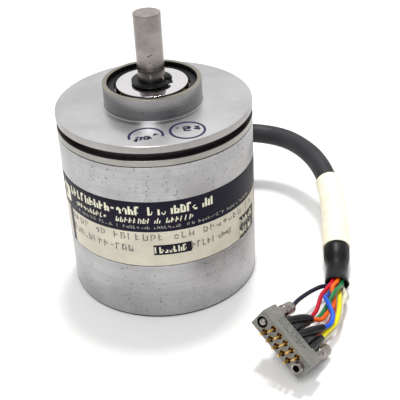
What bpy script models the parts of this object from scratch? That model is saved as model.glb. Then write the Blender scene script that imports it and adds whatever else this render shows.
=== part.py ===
"""Rotary encoder with a servo-mount face, a flying lead and a 10-way connector.

Lengths below are millimetres and are turned into metres as meshes are made.
The origin is the centre of the cover's base, +Z runs out of the shaft end.
"""
import bpy
import bmesh
from math import sin, cos, pi, radians, sqrt
from mathutils import Vector, Matrix, Euler

MM = 0.001
GAP = 0.3                 # between pieces that seat on each other
FIT = 0.16                # radial play of the ball bearing rings
TAU = 2 * pi

# housing
BODY_R = 31.75
HOUSING_HEIGHT = 63.5     # cover base to mounting face
BOSS_R = 15.875
BOSS_HEIGHT = 7.4
FLANGE_DEPTH = 6.85       # mounting face down to the parting line
GROOVE_SETBACK = 2.4      # mounting face down to the servo groove
GROOVE_WIDTH = 2.45
GROOVE_DEPTH = 2.2
EDGE_CHAMFER = 0.4
COVER_WALL = 2.5
COVER_FLOOR = 4.0
COVER_EDGE = 0.8
SPIGOT_LENGTH = 6.0
SEAL_GROOVE_DEPTH = 1.4
SEAL_GROOVE_HEIGHT = 2.2
SEAL_GROOVE_DROP = 1.8    # parting line down to the seal's groove
LABEL_BOTTOM_Z = 20.7
LABEL_HEIGHT = 23.4
LABEL_THICKNESS = 0.1
LABEL_PROUD = 0.05
LABEL_RECESS = 0.35
LABEL_ARC = 330.0         # its two ends stop short of the gland

FACE_Z = HOUSING_HEIGHT
BOSS_TOP_Z = FACE_Z + BOSS_HEIGHT
SPLIT_Z = FACE_Z - FLANGE_DEPTH
GROOVE_TOP_Z = FACE_Z - GROOVE_SETBACK
GROOVE_BOTTOM_Z = GROOVE_TOP_Z - GROOVE_WIDTH
SPIGOT_BOTTOM_Z = SPLIT_Z - SPIGOT_LENGTH
COVER_INNER_R = BODY_R - COVER_WALL
SPIGOT_R = COVER_INNER_R - GAP
LABEL_TOP_Z = LABEL_BOTTOM_Z + LABEL_HEIGHT

# bearings and the rings beside them
BEARING_R = 14.2875
BEARING_WIDTH = 7.94
BEARING_SPAN = 23.8       # from one bearing to the other
BEARING_RECESS = 2.86     # boss end down to the front bearing
JOURNAL_R = 6.35
OUTER_RING_WALL = 2.4875
INNER_RING_WALL = 2.35
RACE_PLAY = 0.2
RACE_FLOOR = 1.0          # half of the race's flat floor
RACE_LIP = 1.7            # half of the race's mouth
BALL_INTO_RACE = 0.45     # ball beyond each ring's land
BALL_COUNT = 8
CAGE_WALL_SHARE = 0.3     # of the ball's radius
CAGE_HEIGHT_SHARE = 0.7
TUBE_WALL = 2.7125
POCKET_LIP = 1.5
POCKET_LIP_REACH = 3.2875
BORE_RING_REACH = 1.9875
BORE_RING_THICKNESS = 1.0
BORE_GROOVE_DEPTH = 0.5
SPACER_WALL = 1.6
WAVE_SPRING_HEIGHT = 1.5
SNAP_RING_PLAY = 0.2      # snap ring to the floor of its groove

FRONT_BEARING_Z = BOSS_TOP_Z - BEARING_RECESS - BEARING_WIDTH
REAR_BEARING_Z = FRONT_BEARING_Z - BEARING_SPAN
RACE_LAND_OUTER_R = BEARING_R - OUTER_RING_WALL
RACE_LAND_INNER_R = JOURNAL_R + INNER_RING_WALL
BALL_R = (RACE_LAND_OUTER_R - RACE_LAND_INNER_R) / 2 + BALL_INTO_RACE
POCKET_LIP_R = BEARING_R - POCKET_LIP_REACH
BORE_RING_R = BEARING_R - BORE_RING_REACH

# shaft and what is clamped on it
SHAFT_R = 4.365
SHAFT_REACH = 22.1        # out of the boss
SHAFT_CHAMFER = 0.4
TAIL_R = 5.0
TAIL_LENGTH = 10.9        # below the journal
COLLAR_WIDTH = 1.65
COLLAR_HEIGHT = 0.65
SHIELD_CLEARANCE = 0.8    # to the snap ring round it
SHIELD_THICKNESS = 0.7
SHAFT_RING_WIDTH = 2.135
SHAFT_RING_THICKNESS = 0.8
SHAFT_GROOVE_DEPTH = 0.4

SHAFT_TOP_Z = BOSS_TOP_Z + SHAFT_REACH
HUB_TOP_Z = REAR_BEARING_Z - GAP
TAIL_BOTTOM_Z = HUB_TOP_Z + GAP - TAIL_LENGTH
COLLAR_R = JOURNAL_R + COLLAR_WIDTH
SHIELD_R = BORE_RING_R - SHIELD_CLEARANCE

# circuit board and its posts
BOARD_CLEARANCE = 1.75    # board edge to the cover's wall
LOWER_POST_LENGTH = 11.3
BOARD_THICKNESS = 1.6
POST_INSET = 3.0          # board edge in to the posts' centres
POST_R = 2.8
POST_BORE_R = 1.8
STUD_R = 1.5
STUD_LENGTH = 6.0
STUD_REACH = 3.0          # up into the flange
STUD_HOLE_DEPTH = 4.0
SCREW_HEAD_R = 3.0
SCREW_HEAD_HEIGHT = 1.8
SCREW_HEAD_PLAY = 0.4
SCREW_LENGTH = 9.0
SCREW_SOCKET_R = 1.4
SCREW_SOCKET_DEPTH = 1.0
COUNTERBORE_DEPTH = 2.4
POST_AZIMUTHS = (30.0, 150.0, 270.0)
HEADER_FROM_R = 17.0
HEADER_DEPTH = 6.0
HEADER_WIDTH = 12.0
HEADER_HEIGHT = 6.5

BOARD_R = COVER_INNER_R - BOARD_CLEARANCE
BOARD_BOTTOM_Z = COVER_FLOOR + LOWER_POST_LENGTH + 2 * GAP
BOARD_TOP_Z = BOARD_BOTTOM_Z + BOARD_THICKNESS
POST_CIRCLE_R = BOARD_R - POST_INSET

# code disc and optical head
HUB_HEIGHT = 7.0
HUB_FLANGE_R = 13.0
HUB_FLANGE = 2.0
HUB_SPIGOT_R = 7.0
HUB_CLEARANCE = 2.0       # to the lip under the rear bearing
SPIGOT_SHORT = 0.1        # the hub's spigot ends inside the disc
DISC_THICKNESS = 1.2
DISC_CLEARANCE = 1.2      # disc edge to the posts
CLAMP_R = 12.0
CLAMP_THICKNESS = 1.3
HEAD_AZIMUTH = 210.0
HEAD_REACH = 5.5          # over the disc, in from its edge
HEAD_CLEARANCE = 1.8      # disc edge to the head's spine
HEAD_SPINE_WALL = 4.3
HEAD_WIDTH = 12.0
HEAD_ABOVE = 5.3          # disc up to the head's top
HEAD_ARM = 3.0
ROOM_ABOVE_DISC = 1.6
ROOM_BELOW_DISC = 1.5
TRACK_INSET = 2.5         # disc edge in to the slotted track
LAMP_R = 2.4
LAMP_DOME = 1.0
MASK_WIDTH = 6.0
MASK_THICKNESS = 0.6
DETECTOR_WIDTH = 10.0
DETECTOR_THICKNESS = 1.6

HUB_R = POCKET_LIP_R - HUB_CLEARANCE
DISC_TOP_Z = HUB_TOP_Z - HUB_HEIGHT - GAP
DISC_BOTTOM_Z = DISC_TOP_Z - DISC_THICKNESS
DISC_R = POST_CIRCLE_R - POST_R - DISC_CLEARANCE
HEAD_INNER = DISC_R - HEAD_REACH
HEAD_SPINE = DISC_R + HEAD_CLEARANCE
HEAD_OUTER = HEAD_SPINE + HEAD_SPINE_WALL
HEAD_TOP_Z = DISC_TOP_Z + HEAD_ABOVE
TRACK_R = DISC_R - TRACK_INSET

# lead
GLAND_AZIMUTH = 80.0
GLAND_Z = 24.6
GLAND_WALL = 0.9
GLAND_LIP = 0.7           # flange beyond the gland's neck
GLAND_THICKNESS = 1.4
CABLE_R = 3.7
CABLE_PLAY = 0.7          # cable in the gland, where it bends
CABLE_STEPS = 30
JACKET_END = 128.8        # along the route
SLEEVE_START = 93.3
SLEEVE_LENGTH = 30.9
SLEEVE_WALL = 0.8         # from the cable to the sleeve's outside
BOOT_TOP_WALL = 0.75
BOOT_NECK_R = 3.6
BOOT_MOUTH_R = 3.9
BOOT_WALL = 0.5
WIRE_R = 0.65
WIRE_STEP = 3.2

GLAND_BORE_R = CABLE_R + CABLE_PLAY
GLAND_R = GLAND_BORE_R + GLAND_WALL
GLAND_FLANGE_R = GLAND_R + GLAND_LIP

# connector, about its own axes: x along it, y up its face, z out of its mating face
CONNECTOR_PLACE = (34.47, -62.26, 12.04)
CONNECTOR_TURN = (67.9, 30.27, -48.2)
CONNECTOR_HEIGHT = 6.55
CONNECTOR_DEPTH = 7.0
CONTACT_PITCH = 2.66
CONTACT_COUNT = 5
CONTACT_ROW_Y = 1.525
UPPER_ROW_CENTRE = 0.72
LOWER_ROW_CENTRE = -0.46
CONTACT_R = 0.4
CONTACT_REACH = 2.9
CUP_R = 0.62
CUP_LENGTH = 1.6
JACK_MARGIN = 3.07        # outermost contact to the jackscrew
END_MARGIN = 2.36         # jackscrew to the connector's end
JACK_R = 1.25
JACK_TIP = 0.6
SOCKET_R = 1.6
SOCKET_WALL = 0.55
SOCKET_REACH = 1.8
SOCKET_DEPTH = 3.0
JACK_NECK_R = 1.7
JACK_HEAD_R = 2.0
JACK_NECK = 4.2
JACK_HEAD = 6.0
JACK_SLOT_WIDTH = 0.7
JACK_SLOT_DEPTH = 0.9

JACK_X = CONTACT_PITCH * (CONTACT_COUNT - 1) / 2 + JACK_MARGIN
CONNECTOR_LENGTH = 2 * (JACK_X + END_MARGIN)

# the lead's route, from inside the gland to the mouth of the boot
LEAD_ROUTE = [
    (4.5, 24.6, 24.6), (6.0, 31.9, 24.6), (9.0, 39.0, 24.1), (13.4, 45.4, 23.4),
    (19.4, 50.3, 22.6), (26.5, 53.4, 21.8), (34.2, 54.5, 21.2), (41.9, 53.0, 20.7),
    (48.4, 48.8, 20.5), (53.3, 42.6, 20.2), (56.7, 35.7, 19.8), (59.0, 28.4, 18.9),
    (60.4, 20.9, 17.3), (60.9, 13.4, 15.1), (60.7, 6.1, 12.6), (60.1, -1.2, 10.1),
    (59.4, -8.6, 7.4), (58.5, -15.9, 4.7), (57.2, -23.8, 4.3)]

# each wire's route, from the end of the jacket to its solder cup
WIRE_ROUTES = {
    "black": [(56.2, -16.1, 4.5), (55.1, -24.1, 4.3), (50.8, -27.7, 5.6), (46.5, -31.8, 6.6),
              (42.2, -36.7, 7.2), (39.5, -41.8, 7.4), (37.9, -46.1, 8.3), (35.4, -51.4, 10.7)],
    "red": [(56.9, -16.2, 6.0), (55.9, -24.3, 5.9), (53.6, -28.4, 5.9), (50.8, -32.7, 6.0),
            (48.1, -40.1, 5.9), (45.0, -44.7, 6.4), (40.7, -49.1, 7.7), (37.0, -53.1, 9.4)],
    "green": [(60.0, -16.6, 5.3), (58.9, -24.7, 5.2), (56.7, -31.1, 7.7), (54.6, -34.7, 8.6),
              (51.6, -39.3, 7.0), (49.4, -42.7, 6.3), (46.8, -45.6, 6.7), (43.7, -48.7, 8.2),
              (39.4, -54.2, 11.2)],
    "blue": [(56.9, -16.2, 2.9), (55.9, -24.2, 2.7), (53.2, -31.5, 5.0), (51.4, -36.7, 8.5),
             (51.7, -40.9, 9.3), (52.4, -44.8, 8.6), (52.0, -47.5, 7.8), (50.6, -49.5, 7.5),
             (47.5, -51.3, 7.9), (41.0, -55.9, 9.9)],
    "orange": [(58.6, -16.5, 6.4), (57.6, -24.5, 6.3), (54.7, -30.5, 7.3), (54.4, -35.6, 6.5),
               (53.9, -38.9, 6.6), (51.8, -42.3, 7.2), (49.0, -46.3, 7.4), (46.2, -47.9, 8.9),
               (43.2, -49.1, 10.5), (37.9, -52.5, 12.6)],
    "yellow": [(58.6, -16.4, 2.5), (57.6, -24.4, 2.3), (56.8, -32.4, 5.6), (56.0, -36.8, 7.4),
               (55.1, -41.4, 7.3), (53.4, -46.3, 6.0), (50.2, -50.0, 5.6), (47.9, -53.2, 5.8),
               (44.0, -59.3, 7.2)],
    "white": [(60.0, -16.6, 3.6), (58.9, -24.6, 3.4), (58.8, -31.5, 4.7), (56.6, -37.2, 5.1),
              (54.7, -43.7, 4.3), (51.1, -48.9, 3.4), (46.0, -53.5, 3.6), (41.6, -58.3, 5.4)],
    "pink": [(58.2, -16.4, 4.5), (57.1, -24.4, 4.3), (55.3, -30.0, 5.4), (54.5, -36.6, 4.5),
             (53.1, -41.2, 4.2), (50.8, -45.6, 4.3), (48.3, -49.4, 4.9), (45.9, -52.6, 6.1),
             (42.5, -57.6, 8.6)]}

WIRE_COLOURS = {
    "black": (0.012, 0.012, 0.03), "red": (0.62, 0.01, 0.03), "green": (0.02, 0.25, 0.07),
    "blue": (0.01, 0.12, 0.75), "orange": (0.9, 0.12, 0.0), "yellow": (0.9, 0.8, 0.0),
    "white": (0.8, 0.78, 0.65), "pink": (0.7, 0.12, 0.1)}


# ---- helpers -------------------------------------------------------------

def finish(name, colour, roughness, metallic):
    """A plain material with the colour and gloss of one finish."""
    mat = bpy.data.materials.new(name)
    mat.use_nodes = True
    shader = mat.node_tree.nodes["Principled BSDF"]
    shader.inputs["Base Color"].default_value = (*colour, 1.0)
    shader.inputs["Roughness"].default_value = roughness
    shader.inputs["Metallic"].default_value = metallic
    return mat


def add_object(name, bm, material, parent=None):
    """Turn a bmesh in millimetres into a named object in metres."""
    bmesh.ops.scale(bm, vec=(MM, MM, MM), verts=bm.verts)
    bmesh.ops.recalc_face_normals(bm, faces=bm.faces)
    mesh = bpy.data.meshes.new(name)
    bm.to_mesh(mesh)
    bm.free()
    mesh.materials.append(material)
    mesh.shade_smooth()
    mesh.set_sharp_from_angle(angle=radians(30))
    obj = bpy.data.objects.new(name, mesh)
    bpy.context.collection.objects.link(obj)
    obj.parent = parent
    return obj


def turned_mesh(profile, segments, arc=360.0):
    """Spin a closed (r, z) outline, or one that starts and ends on the axis, about Z."""
    bm = bmesh.new()
    verts = [bm.verts.new((r, 0, z)) for r, z in profile]
    edges = [bm.edges.new(pair) for pair in zip(verts, verts[1:])]
    if profile[0][0] > 0:
        edges.append(bm.edges.new((verts[-1], verts[0])))
    whole = arc >= 360.0
    if not whole:
        bm.faces.new(verts)
    geom = verts + edges + list(bm.faces)
    bmesh.ops.spin(bm, geom=geom, cent=(0, 0, 0), axis=(0, 0, 1), angle=radians(arc),
                   steps=segments, use_merge=whole, use_duplicate=False)
    bmesh.ops.remove_doubles(bm, verts=bm.verts, dist=1e-4)
    bmesh.ops.dissolve_degenerate(bm, edges=bm.edges, dist=1e-5)
    return bm


def turned(name, profile, segments, material, parent=None, arc=360.0):
    return add_object(name, turned_mesh(profile, segments, arc), material, parent)


def ring_profile(inner_r, outer_r, bottom_z, top_z):
    return [(inner_r, bottom_z), (outer_r, bottom_z), (outer_r, top_z), (inner_r, top_z)]


def disc_profile(r, bottom_z, top_z):
    return [(0, bottom_z), (r, bottom_z), (r, top_z), (0, top_z)]


def block_mesh(low, high):
    bm = bmesh.new()
    bmesh.ops.create_cube(bm, size=1.0)
    size = Vector(high) - Vector(low)
    bmesh.ops.scale(bm, vec=size, verts=bm.verts)
    bmesh.ops.translate(bm, vec=(Vector(high) + Vector(low)) / 2, verts=bm.verts)
    return bm


def join_meshes(parts):
    """One bmesh from several, each moved by its own matrix."""
    whole = bmesh.new()
    for bm, matrix in parts:
        bmesh.ops.transform(bm, matrix=matrix, verts=bm.verts)
        temp = bpy.data.meshes.new("temp")
        bm.to_mesh(temp)
        bm.free()
        whole.from_mesh(temp)
        bpy.data.meshes.remove(temp)
    return whole


def cut(target, cutter_mesh, name, parent=None, operation="DIFFERENCE"):
    """Cut a target with a bmesh in millimetres, kept as a live Boolean."""
    cutter = add_object(name, cutter_mesh, target.data.materials[0], parent)
    cutter.hide_render = True
    cutter.display_type = "WIRE"
    modifier = target.modifiers.new(name, "BOOLEAN")
    modifier.operation = operation
    modifier.solver = "EXACT"
    modifier.object = cutter


def place_on_azimuth(azimuth):
    return Matrix.Rotation(radians(azimuth), 4, "Z")


def smooth_path(route):
    """Catmull-Rom curve through the route's points, and the distance along it."""
    pts = [Vector(p) for p in route]
    pts = [2 * pts[0] - pts[1]] + pts + [2 * pts[-1] - pts[-2]]
    fine = []
    for a, b, c, d in zip(pts, pts[1:], pts[2:], pts[3:]):
        for step in range(24):
            t = step / 24
            fine.append(0.5 * (2 * b + (c - a) * t + (2 * a - 5 * b + 4 * c - d) * t ** 2
                               + (3 * b - a - 3 * c + d) * t ** 3))
    fine.append(pts[-2])
    lengths = [0.0]
    for a, b in zip(fine, fine[1:]):
        lengths.append(lengths[-1] + (b - a).length)
    return fine, lengths


def evenly_spaced(fine, lengths, end, count):
    return [point_at(fine, lengths, end * k / count) for k in range(count + 1)]


def point_at(fine, lengths, s):
    for k in range(len(lengths) - 1):
        if s <= lengths[k + 1]:
            t = (s - lengths[k]) / (lengths[k + 1] - lengths[k])
            return fine[k].lerp(fine[k + 1], t)
    return fine[-1] + (fine[-1] - fine[-2]).normalized() * (s - lengths[-1])


def direction_at(fine, lengths, s):
    return (point_at(fine, lengths, s + 0.4) - point_at(fine, lengths, s - 0.4)).normalized()


def tube_along(name, points, radius, resolution, material):
    """A solid round cord: a bevelled curve with filled ends."""
    curve = bpy.data.curves.new(name, "CURVE")
    curve.dimensions = "3D"
    curve.bevel_depth = radius * MM
    curve.bevel_resolution = resolution
    curve.use_fill_caps = True
    spline = curve.splines.new("POLY")
    spline.points.add(len(points) - 1)
    for slot, point in zip(spline.points, points):
        slot.co = (*(point * MM), 1.0)
    curve.materials.append(material)
    obj = bpy.data.objects.new(name, curve)
    bpy.context.collection.objects.link(obj)
    return obj


def sleeve_along(name, fine, lengths, profile, sides, material):
    """Turn a closed (distance, radius) outline about a bent path."""
    bm = bmesh.new()
    rings = []
    for s, r in profile:
        centre = point_at(fine, lengths, max(s, 0.0))
        forward = direction_at(fine, lengths, max(s, 0.5))
        side = forward.cross(Vector((0, 0, 1))).normalized()
        up = side.cross(forward)
        rings.append([bm.verts.new(centre + r * (cos(a) * side + sin(a) * up))
                      for a in (TAU * k / sides for k in range(sides))])
    for ring, following in zip(rings, rings[1:] + rings[:1]):
        for k in range(sides):
            n = (k + 1) % sides
            bm.faces.new((ring[k], ring[n], following[n], following[k]))
    return add_object(name, bm, material)


# ---- housing -------------------------------------------------------------

def build_front_flange(metal):
    pocket_r = BEARING_R + FIT
    tube_r = BEARING_R + TUBE_WALL
    snap_groove_r = pocket_r + BORE_GROOVE_DEPTH
    snap_groove_bottom = FRONT_BEARING_Z + BEARING_WIDTH
    snap_groove_top = snap_groove_bottom + BORE_RING_THICKNESS + 2 * GAP
    pocket_floor = REAR_BEARING_Z - GAP
    lip_bottom = pocket_floor - POCKET_LIP
    seal_top = SPLIT_Z - SEAL_GROOVE_DROP
    seal_bottom = seal_top - SEAL_GROOVE_HEIGHT
    seal_r = SPIGOT_R - SEAL_GROOVE_DEPTH
    groove_r = BODY_R - GROOVE_DEPTH
    profile = [
        (pocket_r, BOSS_TOP_Z), (BOSS_R - EDGE_CHAMFER / 2, BOSS_TOP_Z),
        (BOSS_R, BOSS_TOP_Z - EDGE_CHAMFER / 2), (BOSS_R, FACE_Z),
        (BODY_R - EDGE_CHAMFER, FACE_Z), (BODY_R, FACE_Z - EDGE_CHAMFER),
        (BODY_R, GROOVE_TOP_Z), (groove_r, GROOVE_TOP_Z),
        (groove_r, GROOVE_BOTTOM_Z), (BODY_R, GROOVE_BOTTOM_Z),
        (BODY_R, SPLIT_Z), (SPIGOT_R, SPLIT_Z),
        (SPIGOT_R, seal_top), (seal_r, seal_top), (seal_r, seal_bottom), (SPIGOT_R, seal_bottom),
        (SPIGOT_R, SPIGOT_BOTTOM_Z), (tube_r, SPIGOT_BOTTOM_Z), (tube_r, lip_bottom),
        (POCKET_LIP_R, lip_bottom), (POCKET_LIP_R, pocket_floor), (pocket_r, pocket_floor),
        (pocket_r, snap_groove_bottom), (snap_groove_r, snap_groove_bottom),
        (snap_groove_r, snap_groove_top), (pocket_r, snap_groove_top)]
    flange = turned("front_flange", profile, 36, metal)
    hole = disc_profile(POST_BORE_R, SPIGOT_BOTTOM_Z - 1.0, SPIGOT_BOTTOM_Z + STUD_HOLE_DEPTH)
    holes = join_meshes([(turned_mesh(hole, 12),
                          place_on_azimuth(a) @ Matrix.Translation((POST_CIRCLE_R, 0, 0)))
                         for a in POST_AZIMUTHS])
    cut(flange, holes, "post_holes")


def build_cover(metal):
    top = SPLIT_Z - GAP
    label_r = BODY_R - LABEL_RECESS
    profile = [
        (0, 0), (BODY_R - COVER_EDGE, 0), (BODY_R, COVER_EDGE),
        (BODY_R, LABEL_BOTTOM_Z - GAP), (label_r, LABEL_BOTTOM_Z - GAP),
        (label_r, LABEL_TOP_Z + GAP), (BODY_R, LABEL_TOP_Z + GAP),
        (BODY_R, top), (COVER_INNER_R, top), (COVER_INNER_R, COVER_FLOOR), (0, COVER_FLOOR)]
    cover = turned("cover", profile, 36, metal)
    head_r = SCREW_HEAD_R + SCREW_HEAD_PLAY
    screw_hole = [(0, -1.0), (head_r, -1.0), (head_r, COUNTERBORE_DEPTH),
                  (POST_BORE_R, COUNTERBORE_DEPTH), (POST_BORE_R, COVER_FLOOR + 1.0),
                  (0, COVER_FLOOR + 1.0)]
    parts = [(turned_mesh(screw_hole, 16),
              place_on_azimuth(a) @ Matrix.Translation((POST_CIRCLE_R, 0, 0)))
             for a in POST_AZIMUTHS]
    margin = 2.0              # the cutter reaches this far past both faces
    gland_hole = disc_profile(GLAND_R + GAP, -margin, COVER_WALL + margin)
    sideways = (place_on_azimuth(GLAND_AZIMUTH)
                @ Matrix.Translation((COVER_INNER_R, 0, GLAND_Z)) @ Matrix.Rotation(pi / 2, 4, "Y"))
    parts.append((turned_mesh(gland_hole, 24), sideways))
    cut(cover, join_meshes(parts), "cover_holes")


def build_cover_seal(rubber):
    """O-ring, flattened between the floor of its groove and the cover's wall."""
    inner_r = SPIGOT_R - SEAL_GROOVE_DEPTH + GAP
    outer_r = SPIGOT_R
    centre_r = (inner_r + outer_r) / 2
    centre_z = SPLIT_Z - SEAL_GROOVE_DROP - SEAL_GROOVE_HEIGHT / 2
    half_width = (outer_r - inner_r) / 2
    half_height = SEAL_GROOVE_HEIGHT / 2 - GAP
    section = [(centre_r + half_width * cos(a), centre_z + half_height * sin(a))
               for a in (TAU * k / 6 for k in range(6))]
    turned("cover_o_ring", section, 24, rubber)


def build_label(film):
    outer_r = BODY_R + LABEL_PROUD
    profile = ring_profile(outer_r - LABEL_THICKNESS, outer_r, LABEL_BOTTOM_Z, LABEL_TOP_Z)
    label = turned("label", profile, 33, film, arc=LABEL_ARC)
    label.rotation_euler.z = radians(GLAND_AZIMUTH + (360 - LABEL_ARC) / 2)


# ---- shaft and bearings --------------------------------------------------

def stack_heights():
    """Heights that follow from the front bearing: collar, shield disc, shaft ring."""
    collar_bottom = FRONT_BEARING_Z + BEARING_WIDTH + GAP
    shoulder = collar_bottom + COLLAR_HEIGHT
    shield_bottom = shoulder + GAP
    ring_bottom = shield_bottom + SHIELD_THICKNESS + GAP
    return collar_bottom, shoulder, shield_bottom, ring_bottom


def build_shaft(steel, axle):
    collar_bottom, shoulder, shield_bottom, ring_bottom = stack_heights()
    groove_r = SHAFT_R - SHAFT_GROOVE_DEPTH
    groove_bottom = ring_bottom - GAP / 2
    groove_top = ring_bottom + SHAFT_RING_THICKNESS + GAP / 2
    hub_seat = HUB_TOP_Z + GAP
    profile = [
        (0, SHAFT_TOP_Z), (SHAFT_R - SHAFT_CHAMFER, SHAFT_TOP_Z),
        (SHAFT_R, SHAFT_TOP_Z - SHAFT_CHAMFER), (SHAFT_R, groove_top), (groove_r, groove_top),
        (groove_r, groove_bottom), (SHAFT_R, groove_bottom), (SHAFT_R, shoulder),
        (COLLAR_R, shoulder), (COLLAR_R, collar_bottom), (JOURNAL_R, collar_bottom),
        (JOURNAL_R, hub_seat), (TAIL_R, hub_seat), (TAIL_R, TAIL_BOTTOM_Z), (0, TAIL_BOTTOM_Z)]
    turned("shaft", profile, 24, steel, axle)
    turned("dust_shield_disc",
           ring_profile(SHAFT_R + GAP, SHIELD_R, shield_bottom, shield_bottom + SHIELD_THICKNESS),
           28, steel, axle)


def build_shaft_ring(black_steel, axle):
    """Open snap ring with two lugs, seated in the shaft's groove."""
    ring_bottom = stack_heights()[3]
    profile = ring_profile(SHAFT_R - SHAFT_GROOVE_DEPTH + SNAP_RING_PLAY,
                           SHAFT_R + SHAFT_RING_WIDTH,
                           ring_bottom, ring_bottom + SHAFT_RING_THICKNESS)
    ring = turned("shaft_retaining_ring", profile, 22, black_steel, axle, arc=330.0)
    ring.rotation_euler.z = radians(5.0)


def build_bore_ring(black_steel):
    """Open snap ring that holds the front bearing in the boss."""
    bottom = FRONT_BEARING_Z + BEARING_WIDTH + GAP
    outer_r = BEARING_R + FIT + BORE_GROOVE_DEPTH - SNAP_RING_PLAY
    profile = ring_profile(BORE_RING_R, outer_r, bottom, bottom + BORE_RING_THICKNESS)
    ring = turned("bore_retaining_ring", profile, 26, black_steel, arc=344.0)
    ring.rotation_euler.z = radians(98.0)


def build_bearing(prefix, bottom_z, steel, brass, axle, carrier):
    pitch_r = (RACE_LAND_OUTER_R + RACE_LAND_INNER_R) / 2
    outer_race_r = pitch_r + BALL_R + RACE_PLAY
    inner_race_r = pitch_r - BALL_R - RACE_PLAY
    middle = BEARING_WIDTH / 2
    cage_wall = BALL_R * CAGE_WALL_SHARE
    cage_half = BALL_R * CAGE_HEIGHT_SHARE
    outer = [(BEARING_R, 0), (BEARING_R, BEARING_WIDTH), (RACE_LAND_OUTER_R, BEARING_WIDTH),
             (RACE_LAND_OUTER_R, middle + RACE_LIP), (outer_race_r, middle + RACE_FLOOR),
             (outer_race_r, middle - RACE_FLOOR), (RACE_LAND_OUTER_R, middle - RACE_LIP),
             (RACE_LAND_OUTER_R, 0)]
    inner = [(JOURNAL_R + FIT, 0), (JOURNAL_R + FIT, BEARING_WIDTH),
             (RACE_LAND_INNER_R, BEARING_WIDTH), (RACE_LAND_INNER_R, middle + RACE_LIP),
             (inner_race_r, middle + RACE_FLOOR), (inner_race_r, middle - RACE_FLOOR),
             (RACE_LAND_INNER_R, middle - RACE_LIP), (RACE_LAND_INNER_R, 0)]
    lift = Vector((0, 0, bottom_z * MM))
    turned(prefix + "_bearing_outer_ring", outer, 24, steel).location = lift
    turned(prefix + "_bearing_inner_ring", inner, 20, steel, axle).location = lift
    cage = turned(prefix + "_bearing_ball_cage",
                  ring_profile(pitch_r - cage_wall, pitch_r + cage_wall,
                               middle - cage_half, middle + cage_half),
                  24, brass, carrier)
    cage.location = lift
    balls = []
    for k in range(BALL_COUNT):
        ball = bmesh.new()
        bmesh.ops.create_uvsphere(ball, u_segments=8, v_segments=5, radius=BALL_R)
        spot = place_on_azimuth(360 * k / BALL_COUNT) @ Matrix.Translation((pitch_r, 0, middle))
        balls.append((ball, spot))
    cut(cage, join_meshes(balls), prefix + "_balls", carrier, operation="UNION")
    bpy.data.objects[prefix + "_balls"].location = lift


def build_spacers(steel, axle):
    bottom = REAR_BEARING_Z + BEARING_WIDTH + GAP
    top = FRONT_BEARING_Z - GAP
    outer_r = BEARING_R + FIT - GAP
    inner_r = outer_r - SPACER_WALL
    spring_top = bottom + WAVE_SPRING_HEIGHT
    turned("wave_spring", ring_profile(inner_r, outer_r, bottom, spring_top), 24, steel)
    turned("outer_spacer", ring_profile(inner_r, outer_r, spring_top + GAP, top), 24, steel)
    turned("inner_spacer",
           ring_profile(JOURNAL_R + GAP, COLLAR_R, bottom, top), 20, steel, axle)


# ---- code disc and optical head -------------------------------------------

def build_code_disc(metal, glass, axle):
    flange_bottom = DISC_TOP_Z + GAP
    flange_top = flange_bottom + HUB_FLANGE
    spigot_end = DISC_BOTTOM_Z + SPIGOT_SHORT
    bore_r = TAIL_R + GAP
    hub = [(bore_r, HUB_TOP_Z), (HUB_R, HUB_TOP_Z), (HUB_R, flange_top),
           (HUB_FLANGE_R, flange_top), (HUB_FLANGE_R, flange_bottom),
           (HUB_SPIGOT_R, flange_bottom), (HUB_SPIGOT_R, spigot_end),
           (bore_r, spigot_end)]
    turned("code_disc_hub", hub, 20, metal, axle)
    turned("code_disc",
           ring_profile(HUB_SPIGOT_R + GAP, DISC_R, DISC_BOTTOM_Z, DISC_TOP_Z), 28, glass, axle)
    clamp_top = DISC_BOTTOM_Z - GAP
    turned("code_disc_clamp",
           ring_profile(bore_r, CLAMP_R, clamp_top - CLAMP_THICKNESS, clamp_top), 20, metal, axle)


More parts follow.
